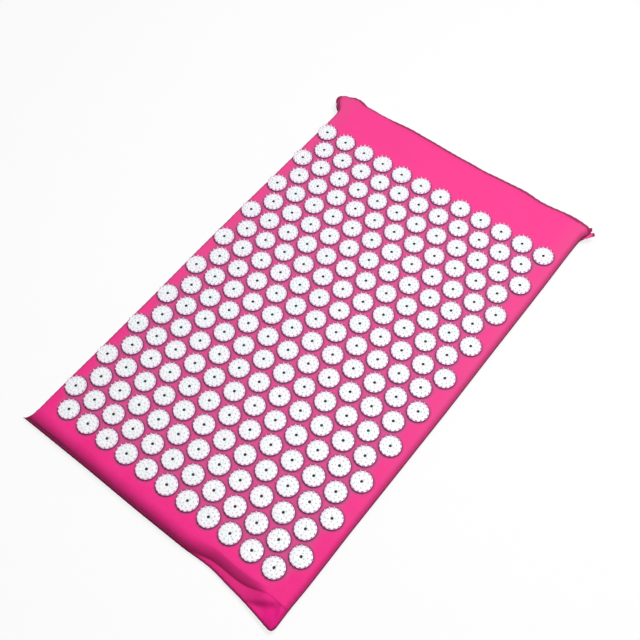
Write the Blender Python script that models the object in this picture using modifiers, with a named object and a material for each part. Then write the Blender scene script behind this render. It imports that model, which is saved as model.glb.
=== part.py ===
"""Acupressure mat: rows of spiked discs on a cloth cover, with a foam core and a zip.

The mat lies on its underside with +Z up. +Y runs along it towards the end with the zip, and the
origin is the middle of the underside. All lengths are in metres.
"""

import math

import bmesh
import bpy
from mathutils import Matrix, Vector

# Pattern of discs: even rows hold one disc less and sit half a pitch to the side
DISC_PITCH = 0.0325
PATTERN_OFFSET = -0.0026
ROW_COUNT = 20
LONG_ROW_DISCS = 12
SIDE_MARGIN = 0.0202
FAR_MARGIN = 0.0775
NEAR_MARGIN = 0.0385

# One spiked disc
DISC_DIAMETER = 0.0267
DECK_DIAMETER = 0.0208
DECK_HEIGHT = 0.0024
SPIKE_RING_DIAMETER = 0.0248
SPIKE_HEIGHT = 0.0065
RIM_SPIKES = 9
DISC_HOLE_DIAMETER = 0.0032
DISC_HOLE_DEPTH = 0.0018
DISC_HOLE_SIDES = 5
TURN_BETWEEN_DISCS = math.radians(137.5)

# Cloth cover and foam core
CLOTH = 0.001
FOAM_THICKNESS = 0.020
CLEARANCE = 0.0003
SIDE_SHOULDER = 0.0068
NEAR_SHOULDER = 0.016
NEAR_UNDER_SHOULDER = 0.007
FAR_SHOULDER = 0.005
SHOULDER_STEPS = 4
COLUMN_SHARES = (-0.8, -0.4, 0.0, 0.3, 0.45, 0.58, 0.68, 0.76, 0.82, 0.88, 0.94)
FAR_COLUMN_SHARES = (-0.97, -0.93, -0.89, -0.85, -0.81, -0.77, -0.5, 0.0, 0.5)
FOAM_SIDE_GAP = 0.0015
FOAM_NEAR_GAP = 0.016
FOAM_EDGE_RADIUS = 0.006
FOAM_EDGE_SEGMENTS = 3

# Slack cloth past the first and the last row of discs, drawn out at the corners
NEAR_SLANT = 0.006
NEAR_RIGHT_REACH = 0.0105
NEAR_LEFT_SPREAD = 0.007
NEAR_RIGHT_SPREAD = 0.001
FAR_SPREAD = 0.008
FAR_RIGHT_REACH = 0.004
CORNER_SINK = 0.007
CORNER_POWER = 4

# Two creases at the near right corner, and the cloth's swell over the resting slider
LONG_CREASE_START = 0.070
LONG_CREASE_END = 0.184
LONG_CREASE_DEPTH = 0.0018
LONG_CREASE_SLANT = 0.006
LONG_CREASE_LIFT_SHARE = 0.924
LONG_CREASE_SPAN_SHARE = 0.07
SHORT_CREASE_NEAR_X = 0.150
SHORT_CREASE_SIDE_SETBACK = 0.016
SHORT_CREASE_HALF_WIDTH = 0.006
SHORT_CREASE_DEPTH = 0.0018
SWELL_REACH = 0.004
SWELL_HALF_WIDTH = 0.019

# Zip: two tapes with a row of teeth each, closed on each other
ZIP_END_MARGIN = 0.022
ZIP_OPENING_HEIGHT = 0.0084
ZIP_OPENING_DEPTH = 0.003
ZIP_SLIT = 0.0009
TAPE_THICKNESS = 0.0005
TAPE_WIDTH = 0.0066
TAPE_ROOM = 0.0008
TAPE_SIDE_GAP = 0.004
EAR_REACH = 0.012
EAR_WIDTH = 0.003
TEETH_WIDTH = 0.002
TEETH_THICKNESS = 0.0018
STOP_LENGTH = 0.0025

# Slider and its pull tab
SLIDER_LENGTH = 0.010
SLIDER_WIDTH = 0.0074
SLIDER_PLATE = 0.0008
SLIDER_OUTLINE_SHARES = ((-0.5, 0.62), (-0.36, 1.0), (0.1, 1.0), (0.5, 0.88))
NECK_WIDTH = 0.0004
NECK_LENGTH = 0.0022
NECK_SETBACK = 0.0005
BAIL_WIRE = 0.0009
BAIL_SPAN = 0.0052
BAIL_HEIGHT = 0.0019
BAIL_CORNER_STEPS = 4
BAIL_SIDES_RESOLUTION = 1
PULL_LENGTH = 0.024
PULL_WIDTH = 0.0062
PULL_NECK_WIDTH = 0.0048
PULL_THICKNESS = 0.0009
PULL_RIM = 0.0009
PULL_EYE_LENGTH = 0.0033
PULL_TAPER_LENGTH = 0.006
PULL_SLOT_LENGTH = 0.008
PULL_SLOT_WIDTH = 0.0024
ARC_STEPS = 5

# How far a cutter runs past what it cuts
OVERRUN = 0.001

# Sizes that follow from the pattern
ROW_PITCH = DISC_PITCH * math.sin(math.pi / 3)
HALF_WIDTH = (LONG_ROW_DISCS - 1) * DISC_PITCH / 2 + SIDE_MARGIN
HALF_LENGTH = ((ROW_COUNT - 1) * ROW_PITCH + FAR_MARGIN + NEAR_MARGIN) / 2
FIRST_ROW_Y = HALF_LENGTH - FAR_MARGIN
FAR_CUT_Y = FIRST_ROW_Y + ROW_PITCH / 2
NEAR_CUT_Y = FIRST_ROW_Y - (ROW_COUNT - 0.5) * ROW_PITCH

# Levels from the floor up
FOAM_BOTTOM = CLOTH + CLEARANCE
TOP_HEIGHT = FOAM_BOTTOM + FOAM_THICKNESS + CLEARANCE + CLOTH
SEAM_HEIGHT = TOP_HEIGHT / 2

# Levels from the foam out to the zip's front, along +Y
TAPE_FRONT = HALF_LENGTH - CLOTH - CLEARANCE
TAPE_BACK = TAPE_FRONT - TAPE_THICKNESS
TEETH_BACK = TAPE_FRONT + CLEARANCE
TEETH_FRONT = TEETH_BACK + TEETH_THICKNESS
PLATE_BACK = TEETH_FRONT + CLEARANCE
PLATE_FRONT = PLATE_BACK + SLIDER_PLATE
REAR_PLATE_FRONT = TAPE_BACK - CLEARANCE
REAR_PLATE_BACK = REAR_PLATE_FRONT - SLIDER_PLATE
FOAM_FAR_Y = REAR_PLATE_BACK - CLEARANCE
PULL_AXIS_Y = PLATE_FRONT + CLEARANCE + PULL_THICKNESS / 2

# Places along the zip
STOP_X = HALF_WIDTH - ZIP_END_MARGIN
SLIDER_REST_X = -(STOP_X - CLEARANCE - SLIDER_LENGTH / 2)

# Half the height that the closed teeth fill
CHAIN_HALF = ZIP_SLIT / 2 + TEETH_WIDTH

# Middle of the cloth's swell over the resting slider
SWELL_X = SLIDER_REST_X - SLIDER_LENGTH / 2

# Row of the near end that the long crease follows
LONG_CREASE_SETBACK = NEAR_SHOULDER * (1 - math.sqrt(1 - LONG_CREASE_LIFT_SHARE ** 2))


def clear_scene():
    for item in list(bpy.data.objects):
        bpy.data.objects.remove(item, do_unlink=True)


def new_collection(name):
    collection = bpy.data.collections.new(name)
    bpy.context.scene.collection.children.link(collection)
    return collection


def new_material(name, colour, roughness, metallic=0.0):
    material = bpy.data.materials.new(name)
    material.use_nodes = True
    shader = material.node_tree.nodes["Principled BSDF"]
    shader.inputs["Base Color"].default_value = (*colour, 1.0)
    shader.inputs["Roughness"].default_value = roughness
    shader.inputs["Metallic"].default_value = metallic
    return material


def add_object(name, mesh, collection, material=None, place=(0.0, 0.0, 0.0)):
    item = bpy.data.objects.new(name, mesh)
    item.location = place
    if material is not None:
        mesh.materials.append(material)
    collection.objects.link(item)
    return item


def mesh_from(name, bm):
    """Turn a bmesh into a mesh with its faces pointing out."""
    bmesh.ops.recalc_face_normals(bm, faces=bm.faces)
    if bm.calc_volume(signed=True) < 0:
        bmesh.ops.reverse_faces(bm, faces=bm.faces)
    mesh = bpy.data.meshes.new(name)
    bm.to_mesh(mesh)
    bm.free()
    return mesh


def smooth(item, angle=math.radians(35)):
    item.data.shade_smooth()
    item.data.set_sharp_from_angle(angle=angle)


def combine(item, other, operation):
    """Join another object to this one, or cut it away."""
    modifier = item.modifiers.new(other.name, "BOOLEAN")
    modifier.operation = operation
    modifier.solver = "EXACT"
    modifier.object = other
    other.hide_render = True
    other.display_type = "WIRE"


def box_mesh(name, low, high):
    """A box between two opposite corners, measured from its object's origin."""
    bm = bmesh.new()
    low, high = Vector(low), Vector(high)
    sides = Matrix.Diagonal((*(high - low), 1.0))
    bmesh.ops.create_cube(bm, size=1.0, matrix=Matrix.Translation((low + high) / 2) @ sides)
    return mesh_from(name, bm)


def flat_solid(name, outlines, back, front):
    """A plate whose outlines lie in the zip's plane, X along it and Z up, from back to front in Y.

    The first outline is the plate's edge, and the others are holes in it.
    """
    curve = bpy.data.curves.new(name, "CURVE")
    curve.dimensions = "2D"
    curve.fill_mode = "BOTH"
    curve.extrude = (front - back) / 2
    for outline in outlines:
        spline = curve.splines.new("POLY")
        spline.points.add(len(outline) - 1)
        for point, (x, z) in zip(spline.points, outline):
            point.co = (x, z, 0.0, 1.0)
        spline.use_cyclic_u = True
    upright = Matrix.Rotation(math.pi / 2, 4, "X")
    return welded_mesh(name, curve, Matrix.Translation((0.0, (front + back) / 2, 0.0)) @ upright)


def welded_mesh(name, curve, matrix):
    """The closed mesh of a curve, with its caps joined to its sides."""
    holder = bpy.data.objects.new(name, curve)
    bpy.context.scene.collection.objects.link(holder)
    bpy.context.view_layer.update()
    evaluated = holder.evaluated_get(bpy.context.evaluated_depsgraph_get())
    raw = bpy.data.meshes.new_from_object(evaluated)
    bpy.data.objects.remove(holder, do_unlink=True)
    bm = bmesh.new()
    bm.from_mesh(raw)
    bpy.data.meshes.remove(raw)
    bmesh.ops.remove_doubles(bm, verts=bm.verts, dist=CLEARANCE / 10)
    bmesh.ops.transform(bm, matrix=matrix, verts=bm.verts)
    return mesh_from(name, bm)


def arc(centre, radius, start, end, steps):
    """Points on an arc, both ends included."""
    points = []
    for step in range(steps + 1):
        angle = start + (end - start) * step / steps
        points.append((centre[0] + radius * math.cos(angle), centre[1] + radius * math.sin(angle)))
    return points


# Cloth panels: a station is a place on one axis and the share of the full height reached there

def shoulder(edge, inward, width, start=0.0):
    """Stations of a quarter ellipse, from the edge up to the flat, starting at a share of the height."""
    stations = []
    for step in range(SHOULDER_STEPS + 1):
        angle = math.pi / 2 * step / SHOULDER_STEPS
        place = edge + inward * width * (1 - math.cos(angle))
        stations.append((place, start + (1 - start) * math.sin(angle)))
    return stations


def columns_across(inset, flat_shares=()):
    """Stations from the left seam to the right one, for a face set in from the outside."""
    width = SIDE_SHOULDER - inset
    left = shoulder(inset - HALF_WIDTH, 1, width)
    right = shoulder(HALF_WIDTH - inset, -1, width)
    flat = [(share * (HALF_WIDTH - SIDE_SHOULDER), 1.0) for share in flat_shares]
    return left + flat + right[::-1]


def near_end(inset, width):
    return shoulder(inset - HALF_LENGTH, 1, width - inset)


def far_end(inset):
    """Stations from the flat down the upright wall that the zip is set in."""
    edge = HALF_LENGTH - inset
    wall = (ZIP_SLIT / 2 + TAPE_WIDTH + TAPE_ROOM) / (TOP_HEIGHT - SEAM_HEIGHT - inset)
    return shoulder(edge, -1, FAR_SHOULDER - inset, wall)[::-1] + [(edge, 0.0)]


def near_pull(y):
    """From 0 at the last row of discs to 1 at the near edge."""
    return max(NEAR_CUT_Y - y, 0.0) / (NEAR_CUT_Y + HALF_LENGTH)


def far_pull(y):
    """From 0 at the first row of discs to 1 at the far edge."""
    return max(y - FAR_CUT_Y, 0.0) / (HALF_LENGTH - FAR_CUT_Y)


def corner_share(x):
    """From 0 in the middle to 1 at a corner, and less than 0 to the left."""
    return math.copysign((abs(x) / HALF_WIDTH) ** CORNER_POWER, x)


def drawn_out(x, y):
    """Draw the two ends out of square: the near edge slants, and the corners reach outwards."""
    near = near_pull(y) ** 2
    far = far_pull(y) ** 2
    right = max(corner_share(x), 0.0)
    spread = near * (NEAR_RIGHT_SPREAD if x > 0 else NEAR_LEFT_SPREAD) + far ** 2 * FAR_SPREAD
    y -= near * (NEAR_SLANT * (x + HALF_WIDTH) / (2 * HALF_WIDTH) + NEAR_RIGHT_REACH * right)
    y += far * FAR_RIGHT_REACH * right
    return x * (1 + spread / HALF_WIDTH), y


def seam_level(x, y):
    """Height of the seam, which sinks towards the near corners."""
    return SEAM_HEIGHT - CORNER_SINK * near_pull(y) ** 2 * abs(corner_share(x))


def hump(value):
    """A smooth rise and fall between -1 and 1, with its top at 0."""
    return max(1 - value * value, 0.0) ** 2


def long_crease(x, lift):
    """How far the top cloth sinks along a line where its near end starts to round down."""
    middle = (LONG_CREASE_START + LONG_CREASE_END) / 2
    half = (LONG_CREASE_END - LONG_CREASE_START) / 2
    across = (lift - LONG_CREASE_LIFT_SHARE) / LONG_CREASE_SPAN_SHARE
    return LONG_CREASE_DEPTH * hump((x - middle) / half) * hump(across)


def slanted(x, y):
    """Set the near end's rows further in towards the right, most of all the long crease's row."""
    run = min(max((x - LONG_CREASE_START) / (LONG_CREASE_END - LONG_CREASE_START), 0.0), 1.0)
    crease_y = LONG_CREASE_SETBACK - HALF_LENGTH
    if y < crease_y:
        share = max(y + HALF_LENGTH, 0.0) / LONG_CREASE_SETBACK
    else:
        share = max(NEAR_CUT_Y - y, 0.0) / (NEAR_CUT_Y - crease_y)
    return y + LONG_CREASE_SLANT * run * share


def short_crease(x, y):
    """How far the top cloth sinks along a line from the near edge to the right side."""
    start = Vector((SHORT_CREASE_NEAR_X, -HALF_LENGTH))
    end = Vector((HALF_WIDTH, SHORT_CREASE_SIDE_SETBACK - HALF_LENGTH))
    along = (end - start).normalized()
    offset = Vector((x, y)) - start
    across = along.cross(offset) / SHORT_CREASE_HALF_WIDTH
    return SHORT_CREASE_DEPTH * hump(across) * hump(2 * along.dot(offset) / (end - start).length - 1)


def swell(x, y):
    """How far the far edge of the top cloth stands out over the slider."""
    return SWELL_REACH * hump((x - SWELL_X) / SWELL_HALF_WIDTH) * far_pull(y) ** 2


def lay_face(verts, columns, rows, side, inset):
    """Move the vertices of a unit grid to the stations of one face of the cloth."""
    flat_level = TOP_HEIGHT - inset if side > 0 else inset
    for vert in verts:
        x, lift_x = columns[round((vert.co.x + 1) / 2 * (len(columns) - 1))]
        y, lift_y = rows[round((vert.co.y + 1) / 2 * (len(rows) - 1))]
        lift = lift_x * lift_y
        sink = 0.0
        if side > 0:
            sink = lift * (short_crease(x, y) + long_crease(x, lift_y))
            y = slanted(x, y)
        seam = seam_level(x, y) + side * CLEARANCE / 2
        if side > 0 and lift_y > 0:
            y += swell(x, y)
        vert.co = (*drawn_out(x, y), seam + (flat_level - seam) * lift - sink)


def cloth_body(columns, rows, side):
    """A panel of cloth between its outer and its inner face; side is 1 on top and -1 below.

    columns and rows take how far a face is set in, and return its stations.
    """
    bm = bmesh.new()
    across = len(columns(0.0)) - 1
    along = len(rows(0.0)) - 1
    bmesh.ops.create_grid(bm, x_segments=across, y_segments=along, size=1.0)
    inner = list(bm.verts)
    thickened = bmesh.ops.extrude_face_region(bm, geom=list(bm.faces), use_keep_orig=True)
    outer = [part for part in thickened["geom"] if isinstance(part, bmesh.types.BMVert)]
    lay_face(inner, columns(CLOTH), rows(CLOTH), side, CLOTH)
    lay_face(outer, columns(0.0), rows(0.0), side, 0.0)
    return bm


# Rows of spiked discs

def disc_centres(row):
    """Places of a row's discs, counted from the far end."""
    count = LONG_ROW_DISCS - row % 2
    y = FIRST_ROW_Y - row * ROW_PITCH
    first = PATTERN_OFFSET - (count - 1) * DISC_PITCH / 2
    return [(first + index * DISC_PITCH, y) for index in range(count)]


def ring_edges(verts):
    """The edges that join the given vertices to each other."""
    members = set(verts)
    return [edge for edge in {edge for vert in verts for edge in vert.link_edges}
            if edge.verts[0] in members and edge.verts[1] in members]


def add_disc(bm, x, y, turn):
    """A low disc whose side is drawn up into spikes; returns the edges where it meets the cloth."""
    stand = Matrix.Translation((x, y, TOP_HEIGHT)) @ Matrix.Rotation(turn, 4, "Z")
    side = bmesh.ops.create_cone(
        bm, cap_ends=False, segments=RIM_SPIKES, depth=DECK_HEIGHT, radius1=DISC_DIAMETER / 2,
        radius2=DECK_DIAMETER / 2, matrix=stand @ Matrix.Translation((0.0, 0.0, DECK_HEIGHT / 2)))["verts"]
    foot = ring_edges([vert for vert in side if vert.co.z < TOP_HEIGHT + DECK_HEIGHT / 2])
    rim = ring_edges([vert for vert in side if vert.co.z > TOP_HEIGHT + DECK_HEIGHT / 2])
    walls = list({face for vert in side for face in vert.link_faces})
    for tip in bmesh.ops.poke(bm, faces=walls)["verts"]:
        outward = Vector((tip.co.x - x, tip.co.y - y, 0.0)).normalized()
        tip.co = Vector((x, y, TOP_HEIGHT + SPIKE_HEIGHT)) + outward * SPIKE_RING_DIAMETER / 2
    hole = bmesh.ops.create_circle(
        bm, cap_ends=True, cap_tris=True, segments=DISC_HOLE_SIDES, radius=DISC_HOLE_DIAMETER / 2,
        matrix=stand @ Matrix.Translation((0.0, 0.0, DECK_HEIGHT)))["verts"]
    bottom = max(hole, key=lambda vert: len(vert.link_faces))
    bottom.co.z -= DISC_HOLE_DEPTH
    hole_rim = ring_edges([vert for vert in hole if vert is not bottom])
    bmesh.ops.triangle_fill(bm, use_beauty=True, edges=rim + hole_rim)
    return foot


def build_spike_row(row, parts, plastic, cotton):
    """A row of discs on the slice of the top cloth that carries it."""
    name = f"spike_row_{row + 1:02d}"
    y = FIRST_ROW_Y - row * ROW_PITCH
    reach = (ROW_PITCH - CLEARANCE) / 2
    bm = cloth_body(columns_across, lambda inset: [(y - reach, 1.0), (y + reach, 1.0)], 1)
    flat = max(bm.faces, key=lambda face: face.calc_center_median().z)
    borders = list(flat.edges)
    bmesh.ops.delete(bm, geom=[flat], context="FACES_ONLY")
    for index, (x, y) in enumerate(disc_centres(row)):
        borders += add_disc(bm, x, y, (row * LONG_ROW_DISCS + index) * TURN_BETWEEN_DISCS)
    bmesh.ops.triangle_fill(bm, use_beauty=True, edges=borders)
    for face in bm.faces:
        is_disc = max(vert.co.z for vert in face.verts) > TOP_HEIGHT + CLEARANCE
        face.material_index = 0 if is_disc else 1
    add_object(name, mesh_from(name, bm), parts, plastic).data.materials.append(cotton)


# Cover and foam

def panel_columns(inset):
    return columns_across(inset, COLUMN_SHARES)


def far_panel_columns(inset):
    return columns_across(inset, FAR_COLUMN_SHARES)


def near_panel_rows(inset):
    """The near end's rows, the fourth of them on the long crease."""
    last = NEAR_CUT_Y - CLEARANCE / 2
    shoulder_top = NEAR_SHOULDER - HALF_LENGTH
    return near_end(inset, NEAR_SHOULDER) + [((shoulder_top + last) / 2, 1.0), (last, 1.0)]


def far_panel_rows(inset):
    return [(FAR_CUT_Y + CLEARANCE / 2, 1.0)] + far_end(inset)


def under_rows(inset):
    middle = [(NEAR_SHOULDER - HALF_LENGTH, 1.0), (NEAR_CUT_Y, 1.0), (FAR_CUT_Y, 1.0)]
    return near_end(inset, NEAR_UNDER_SHOULDER) + middle + far_end(inset)


def build_cover(parts, cutters, material):
    """The two ends of the top cloth, and the bottom cloth, with the zip's opening between them."""
    panels = []
    for name, columns, rows, side in (("cover_top_near", panel_columns, near_panel_rows, 1),
                                      ("cover_top_far", far_panel_columns, far_panel_rows, 1),
                                      ("cover_bottom", panel_columns, under_rows, -1)):
        mesh = mesh_from(name, cloth_body(columns, rows, side))
        panels.append(add_object(name, mesh, parts, material))
    near, far, under = panels
    side = HALF_WIDTH + FAR_SPREAD + OVERRUN
    half = ZIP_OPENING_HEIGHT / 2
    opening = box_mesh(
        "zip_opening", (-side, HALF_LENGTH - ZIP_OPENING_DEPTH, SEAM_HEIGHT - half),
        (side, HALF_LENGTH + SWELL_REACH + FAR_RIGHT_REACH + OVERRUN, SEAM_HEIGHT + half))
    cutter = add_object("zip_opening", opening, cutters)
    combine(far, cutter, "DIFFERENCE")
    combine(under, cutter, "DIFFERENCE")
    for piece in (near, far, under):
        smooth(piece)


def build_foam(parts, material):
    """The foam slab, pressed round at its edges by the cover."""
    side = HALF_WIDTH - CLOTH - FOAM_SIDE_GAP
    near = CLOTH + FOAM_NEAR_GAP - HALF_LENGTH
    top = FOAM_BOTTOM + FOAM_THICKNESS
    slab = box_mesh("foam_core", (-side, near, FOAM_BOTTOM), (side, FOAM_FAR_Y, top))
    foam = add_object("foam_core", slab, parts, material)
    edges = foam.modifiers.new("pressed_edges", "BEVEL")
    edges.width = FOAM_EDGE_RADIUS
    edges.segments = FOAM_EDGE_SEGMENTS
    smooth(foam)


# Zip

def tape_outline():
    """One tape, seen from the zip's front: wide behind the cloth, narrow where it leaves the corners."""
    body = HALF_WIDTH - TAPE_SIDE_GAP
    ear = HALF_WIDTH + EAR_REACH
    low = ZIP_SLIT / 2
    ear_top = low + EAR_WIDTH
    top = low + TAPE_WIDTH
    return [(-ear, low), (ear, low), (ear, ear_top), (body, ear_top), (body, top),
            (-body, top), (-body, ear_top), (-ear, ear_top)]


def bar_outline(start, end, low, high):
    return [(start, low), (end, low), (end, high), (start, high)]


def turned_over(outline):
    return [(x, -z) for x, z in outline]


def build_zip_halves(parts, tape, teeth, metal):
    """Both tapes with their teeth and stops, all at the height of the seam."""
    place = (0.0, 0.0, SEAM_HEIGHT)
    teeth_end = STOP_X - CLEARANCE
    tape_shape = tape_outline()
    teeth_shape = bar_outline(-teeth_end, teeth_end, ZIP_SLIT / 2, CHAIN_HALF)
    top_stop = bar_outline(-STOP_X - STOP_LENGTH, -STOP_X, ZIP_SLIT / 2, CHAIN_HALF)
    for half, turn in (("upper", list), ("lower", turned_over)):
        shape = flat_solid(f"zip_tape_{half}", [turn(tape_shape)], TAPE_BACK, TAPE_FRONT)
        add_object(f"zip_tape_{half}", shape, parts, tape, place)
        shape = flat_solid(f"zip_teeth_{half}", [turn(teeth_shape)], TEETH_BACK, TEETH_FRONT)
        add_object(f"zip_teeth_{half}", shape, parts, teeth, place)
        shape = flat_solid(f"zip_top_stop_{half}", [turn(top_stop)], TEETH_BACK, TEETH_FRONT)
        add_object(f"zip_top_stop_{half}", shape, parts, metal, place)
    bottom_stop = bar_outline(STOP_X, STOP_X + STOP_LENGTH, -CHAIN_HALF, CHAIN_HALF)
    shape = flat_solid("zip_bottom_stop", [bottom_stop], TEETH_BACK, TEETH_FRONT)
    add_object("zip_bottom_stop", shape, parts, metal, place)


def slider_outline():
    upper = [(x * SLIDER_LENGTH, z * SLIDER_WIDTH / 2) for x, z in SLIDER_OUTLINE_SHARES]
    return upper + turned_over(upper)[::-1]


def bail_mesh(name):
    """The wire arch on the slider's front that holds the pull tab."""
    corner = BAIL_HEIGHT / 2
    low = PLATE_FRONT - SLIDER_PLATE / 2
    high = PLATE_FRONT + BAIL_HEIGHT
    right = arc((BAIL_SPAN / 2 - corner, high - corner), corner, 0.0, math.pi / 2, BAIL_CORNER_STEPS)
    left = [(-x, y) for x, y in right[::-1]]
    route = [(BAIL_SPAN / 2, low)] + right + left + [(-BAIL_SPAN / 2, low)]
    curve = bpy.data.curves.new(name, "CURVE")
    curve.dimensions = "3D"
    curve.bevel_depth = BAIL_WIRE / 2
    curve.bevel_resolution = BAIL_SIDES_RESOLUTION
    curve.use_fill_caps = True
    spline = curve.splines.new("POLY")
    spline.points.add(len(route) - 1)
    for point, (x, y) in zip(spline.points, route):
        point.co = (x, y, 0.0, 1.0)
    return welded_mesh(name, curve, Matrix.Identity(4))


def build_slider(parts, cutters, metal):
    """The slider: a channel over the teeth, a rear plate behind the tapes, a neck and a bail."""
    place = (SLIDER_REST_X, 0.0, SEAM_HEIGHT)
    outline = slider_outline()
    front = flat_solid("zip_slider", [outline], TAPE_FRONT + CLEARANCE, PLATE_FRONT)
    slider = add_object("zip_slider", front, parts, metal, place)
    half = SLIDER_LENGTH / 2 + OVERRUN
    channel_half = CHAIN_HALF + CLEARANCE
    channel = box_mesh(
        "slider_channel", (-half, TAPE_FRONT, -channel_half), (half, PLATE_BACK, channel_half))
    combine(slider, add_object("slider_channel", channel, cutters, None, place), "DIFFERENCE")
    rear = flat_solid("slider_rear_plate", [outline], REAR_PLATE_BACK, REAR_PLATE_FRONT)
    neck_start = NECK_SETBACK - SLIDER_LENGTH / 2
    neck = box_mesh(
        "slider_neck", (neck_start, REAR_PLATE_BACK + SLIDER_PLATE / 2, -NECK_WIDTH / 2),
        (neck_start + NECK_LENGTH, PLATE_FRONT - SLIDER_PLATE / 2, NECK_WIDTH / 2))
    bail = bail_mesh("slider_bail")
    for name, mesh in (("slider_neck", neck), ("slider_rear_plate", rear), ("slider_bail", bail)):
        combine(slider, add_object(name, mesh, cutters, None, place), "UNION")
    smooth(slider)


def pull_outlines():
    """The tab's edge, the eye that the bail passes through, and the slot near its free end."""
    start = -PULL_RIM / 2
    end = start + PULL_LENGTH
    neck_end = start + PULL_TAPER_LENGTH
    neck = PULL_NECK_WIDTH / 2
    grip = PULL_WIDTH / 2
    upper = [(start, neck - PULL_RIM), (start + PULL_RIM, neck),
             (neck_end, neck), (neck_end + PULL_RIM, grip)]
    upper += arc((end - grip, 0.0), grip, math.pi / 2, 0.0, ARC_STEPS)
    edge = upper + turned_over(upper[:-1])[::-1]
    eye_half = neck - PULL_RIM
    eye = bar_outline(PULL_RIM / 2, PULL_RIM / 2 + PULL_EYE_LENGTH, -eye_half, eye_half)
    slot_half = PULL_SLOT_WIDTH / 2
    slot_end = end - grip
    slot = arc((slot_end, 0.0), slot_half, math.pi / 2, -math.pi / 2, ARC_STEPS)
    slot += arc((slot_end - PULL_SLOT_LENGTH, 0.0), slot_half, -math.pi / 2, -3 * math.pi / 2, ARC_STEPS)
    return [edge, eye, slot]


def build_pull(parts, metal):
    """The pull tab, with its origin on its hinge axis under the bail."""
    tab = flat_solid("zip_pull", pull_outlines(), -PULL_THICKNESS / 2, PULL_THICKNESS / 2)
    pull = add_object("zip_pull", tab, parts, metal, (SLIDER_REST_X, PULL_AXIS_Y, SEAM_HEIGHT))
    smooth(pull)


def main():
    clear_scene()
    parts = new_collection("acupressure_mat")
    cutters = new_collection("cutters")
    cotton = new_material("pink_cotton", (0.93, 0.05, 0.29), 0.85)
    plastic = new_material("white_plastic", (0.90, 0.90, 0.92), 0.35)
    foam = new_material("pale_foam", (0.85, 0.83, 0.74), 0.95)
    tape = new_material("zip_tape", (0.70, 0.03, 0.22), 0.80)
    teeth = new_material("zip_teeth", (0.62, 0.03, 0.20), 0.45)
    metal = new_material("zip_metal", (0.62, 0.62, 0.64), 0.30, 1.0)
    for row in range(ROW_COUNT):
        build_spike_row(row, parts, plastic, cotton)
    build_cover(parts, cutters, cotton)
    build_foam(parts, foam)
    build_zip_halves(parts, tape, teeth, metal)
    build_slider(parts, cutters, metal)
    build_pull(parts, metal)


main()
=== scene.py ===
"""Looks of the acupressure mat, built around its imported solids.

Lengths are in metres. +X is to the right seen from the near end, +Y runs towards the end with the
zip, and +Z is up through the spikes.
"""

import math

import bmesh
import bpy
import numpy as np
from mathutils import Matrix, Vector
from mathutils.geometry import delaunay_2d_cdt


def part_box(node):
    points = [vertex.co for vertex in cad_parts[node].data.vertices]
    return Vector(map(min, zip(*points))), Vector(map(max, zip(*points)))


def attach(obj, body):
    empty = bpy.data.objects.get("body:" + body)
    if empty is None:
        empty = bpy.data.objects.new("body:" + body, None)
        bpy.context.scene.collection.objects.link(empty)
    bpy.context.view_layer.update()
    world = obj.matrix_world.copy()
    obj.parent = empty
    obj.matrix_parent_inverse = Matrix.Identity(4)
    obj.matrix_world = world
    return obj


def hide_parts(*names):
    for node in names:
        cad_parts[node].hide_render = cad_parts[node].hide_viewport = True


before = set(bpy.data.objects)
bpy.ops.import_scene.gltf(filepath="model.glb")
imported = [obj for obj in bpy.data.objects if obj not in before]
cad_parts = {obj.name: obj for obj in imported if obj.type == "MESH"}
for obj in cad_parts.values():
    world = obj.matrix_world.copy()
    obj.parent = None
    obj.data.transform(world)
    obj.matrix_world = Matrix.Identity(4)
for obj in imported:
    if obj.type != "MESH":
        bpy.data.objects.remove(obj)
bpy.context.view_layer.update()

MM = 0.001

# Pattern of discs
DISC_PITCH = 32.5 * MM
ROW_PITCH = DISC_PITCH * math.sin(math.pi / 3)
PATTERN_OFFSET = -2.6 * MM
ROW_COUNT = 20
LONG_ROW = 12
FAR_MARGIN = 77.5 * MM
NEAR_MARGIN = 38.5 * MM
SIDE_MARGIN = 20.2 * MM
TURN_BETWEEN_DISCS = math.radians(137.5)

# Cover
HALF_WIDTH = (LONG_ROW - 1) * DISC_PITCH / 2 + SIDE_MARGIN
HALF_LENGTH = ((ROW_COUNT - 1) * ROW_PITCH + FAR_MARGIN + NEAR_MARGIN) / 2
FIRST_ROW_Y = HALF_LENGTH - FAR_MARGIN
FAR_CUT_Y = FIRST_ROW_Y + ROW_PITCH / 2
NEAR_CUT_Y = FIRST_ROW_Y - (ROW_COUNT - 0.5) * ROW_PITCH
TOP_HEIGHT = 22.6 * MM
SEAM_HEIGHT = TOP_HEIGHT / 2
CLOTH = 0.8 * MM
SIDE_SHOULDER = 6.8 * MM
NEAR_UNDER_SHOULDER = 7 * MM
FAR_SHOULDER = 9 * MM
FAR_WALL = 5.2 * MM
SEAM_GAP = 0.3 * MM
CORNER_POWER = 4
FOAM_ROUND = 4 * MM

# Zip
ZIP_OPENING = 8.4 * MM
TAPE_BACK = HALF_LENGTH - 1.8 * MM
TAPE_FRONT = HALF_LENGTH - 1.3 * MM
TEETH_BACK = TAPE_FRONT + 0.3 * MM
TEETH_FRONT = TEETH_BACK + 1.8 * MM
SLIDER_REST_X = -171.65 * MM
TOOTH_PITCH = 2.6 * MM
TOOTH_LEVEL = 1.1 * MM
CHAIN_HALF_LENGTH = 174.5 * MM
TAPE_THICKNESS = 0.5 * MM
TAPE_HALF_LENGTH = 186 * MM
STITCH_PITCH = 3.1 * MM
STITCH_HALF_LENGTH = 1.15 * MM
STITCH_RADIUS = 0.3 * MM
STITCHED_HALF_LENGTH = 188 * MM
UPPER_STITCH_HEIGHT = 17.6 * MM
LOWER_STITCH_HEIGHT = 5.4 * MM

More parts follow.
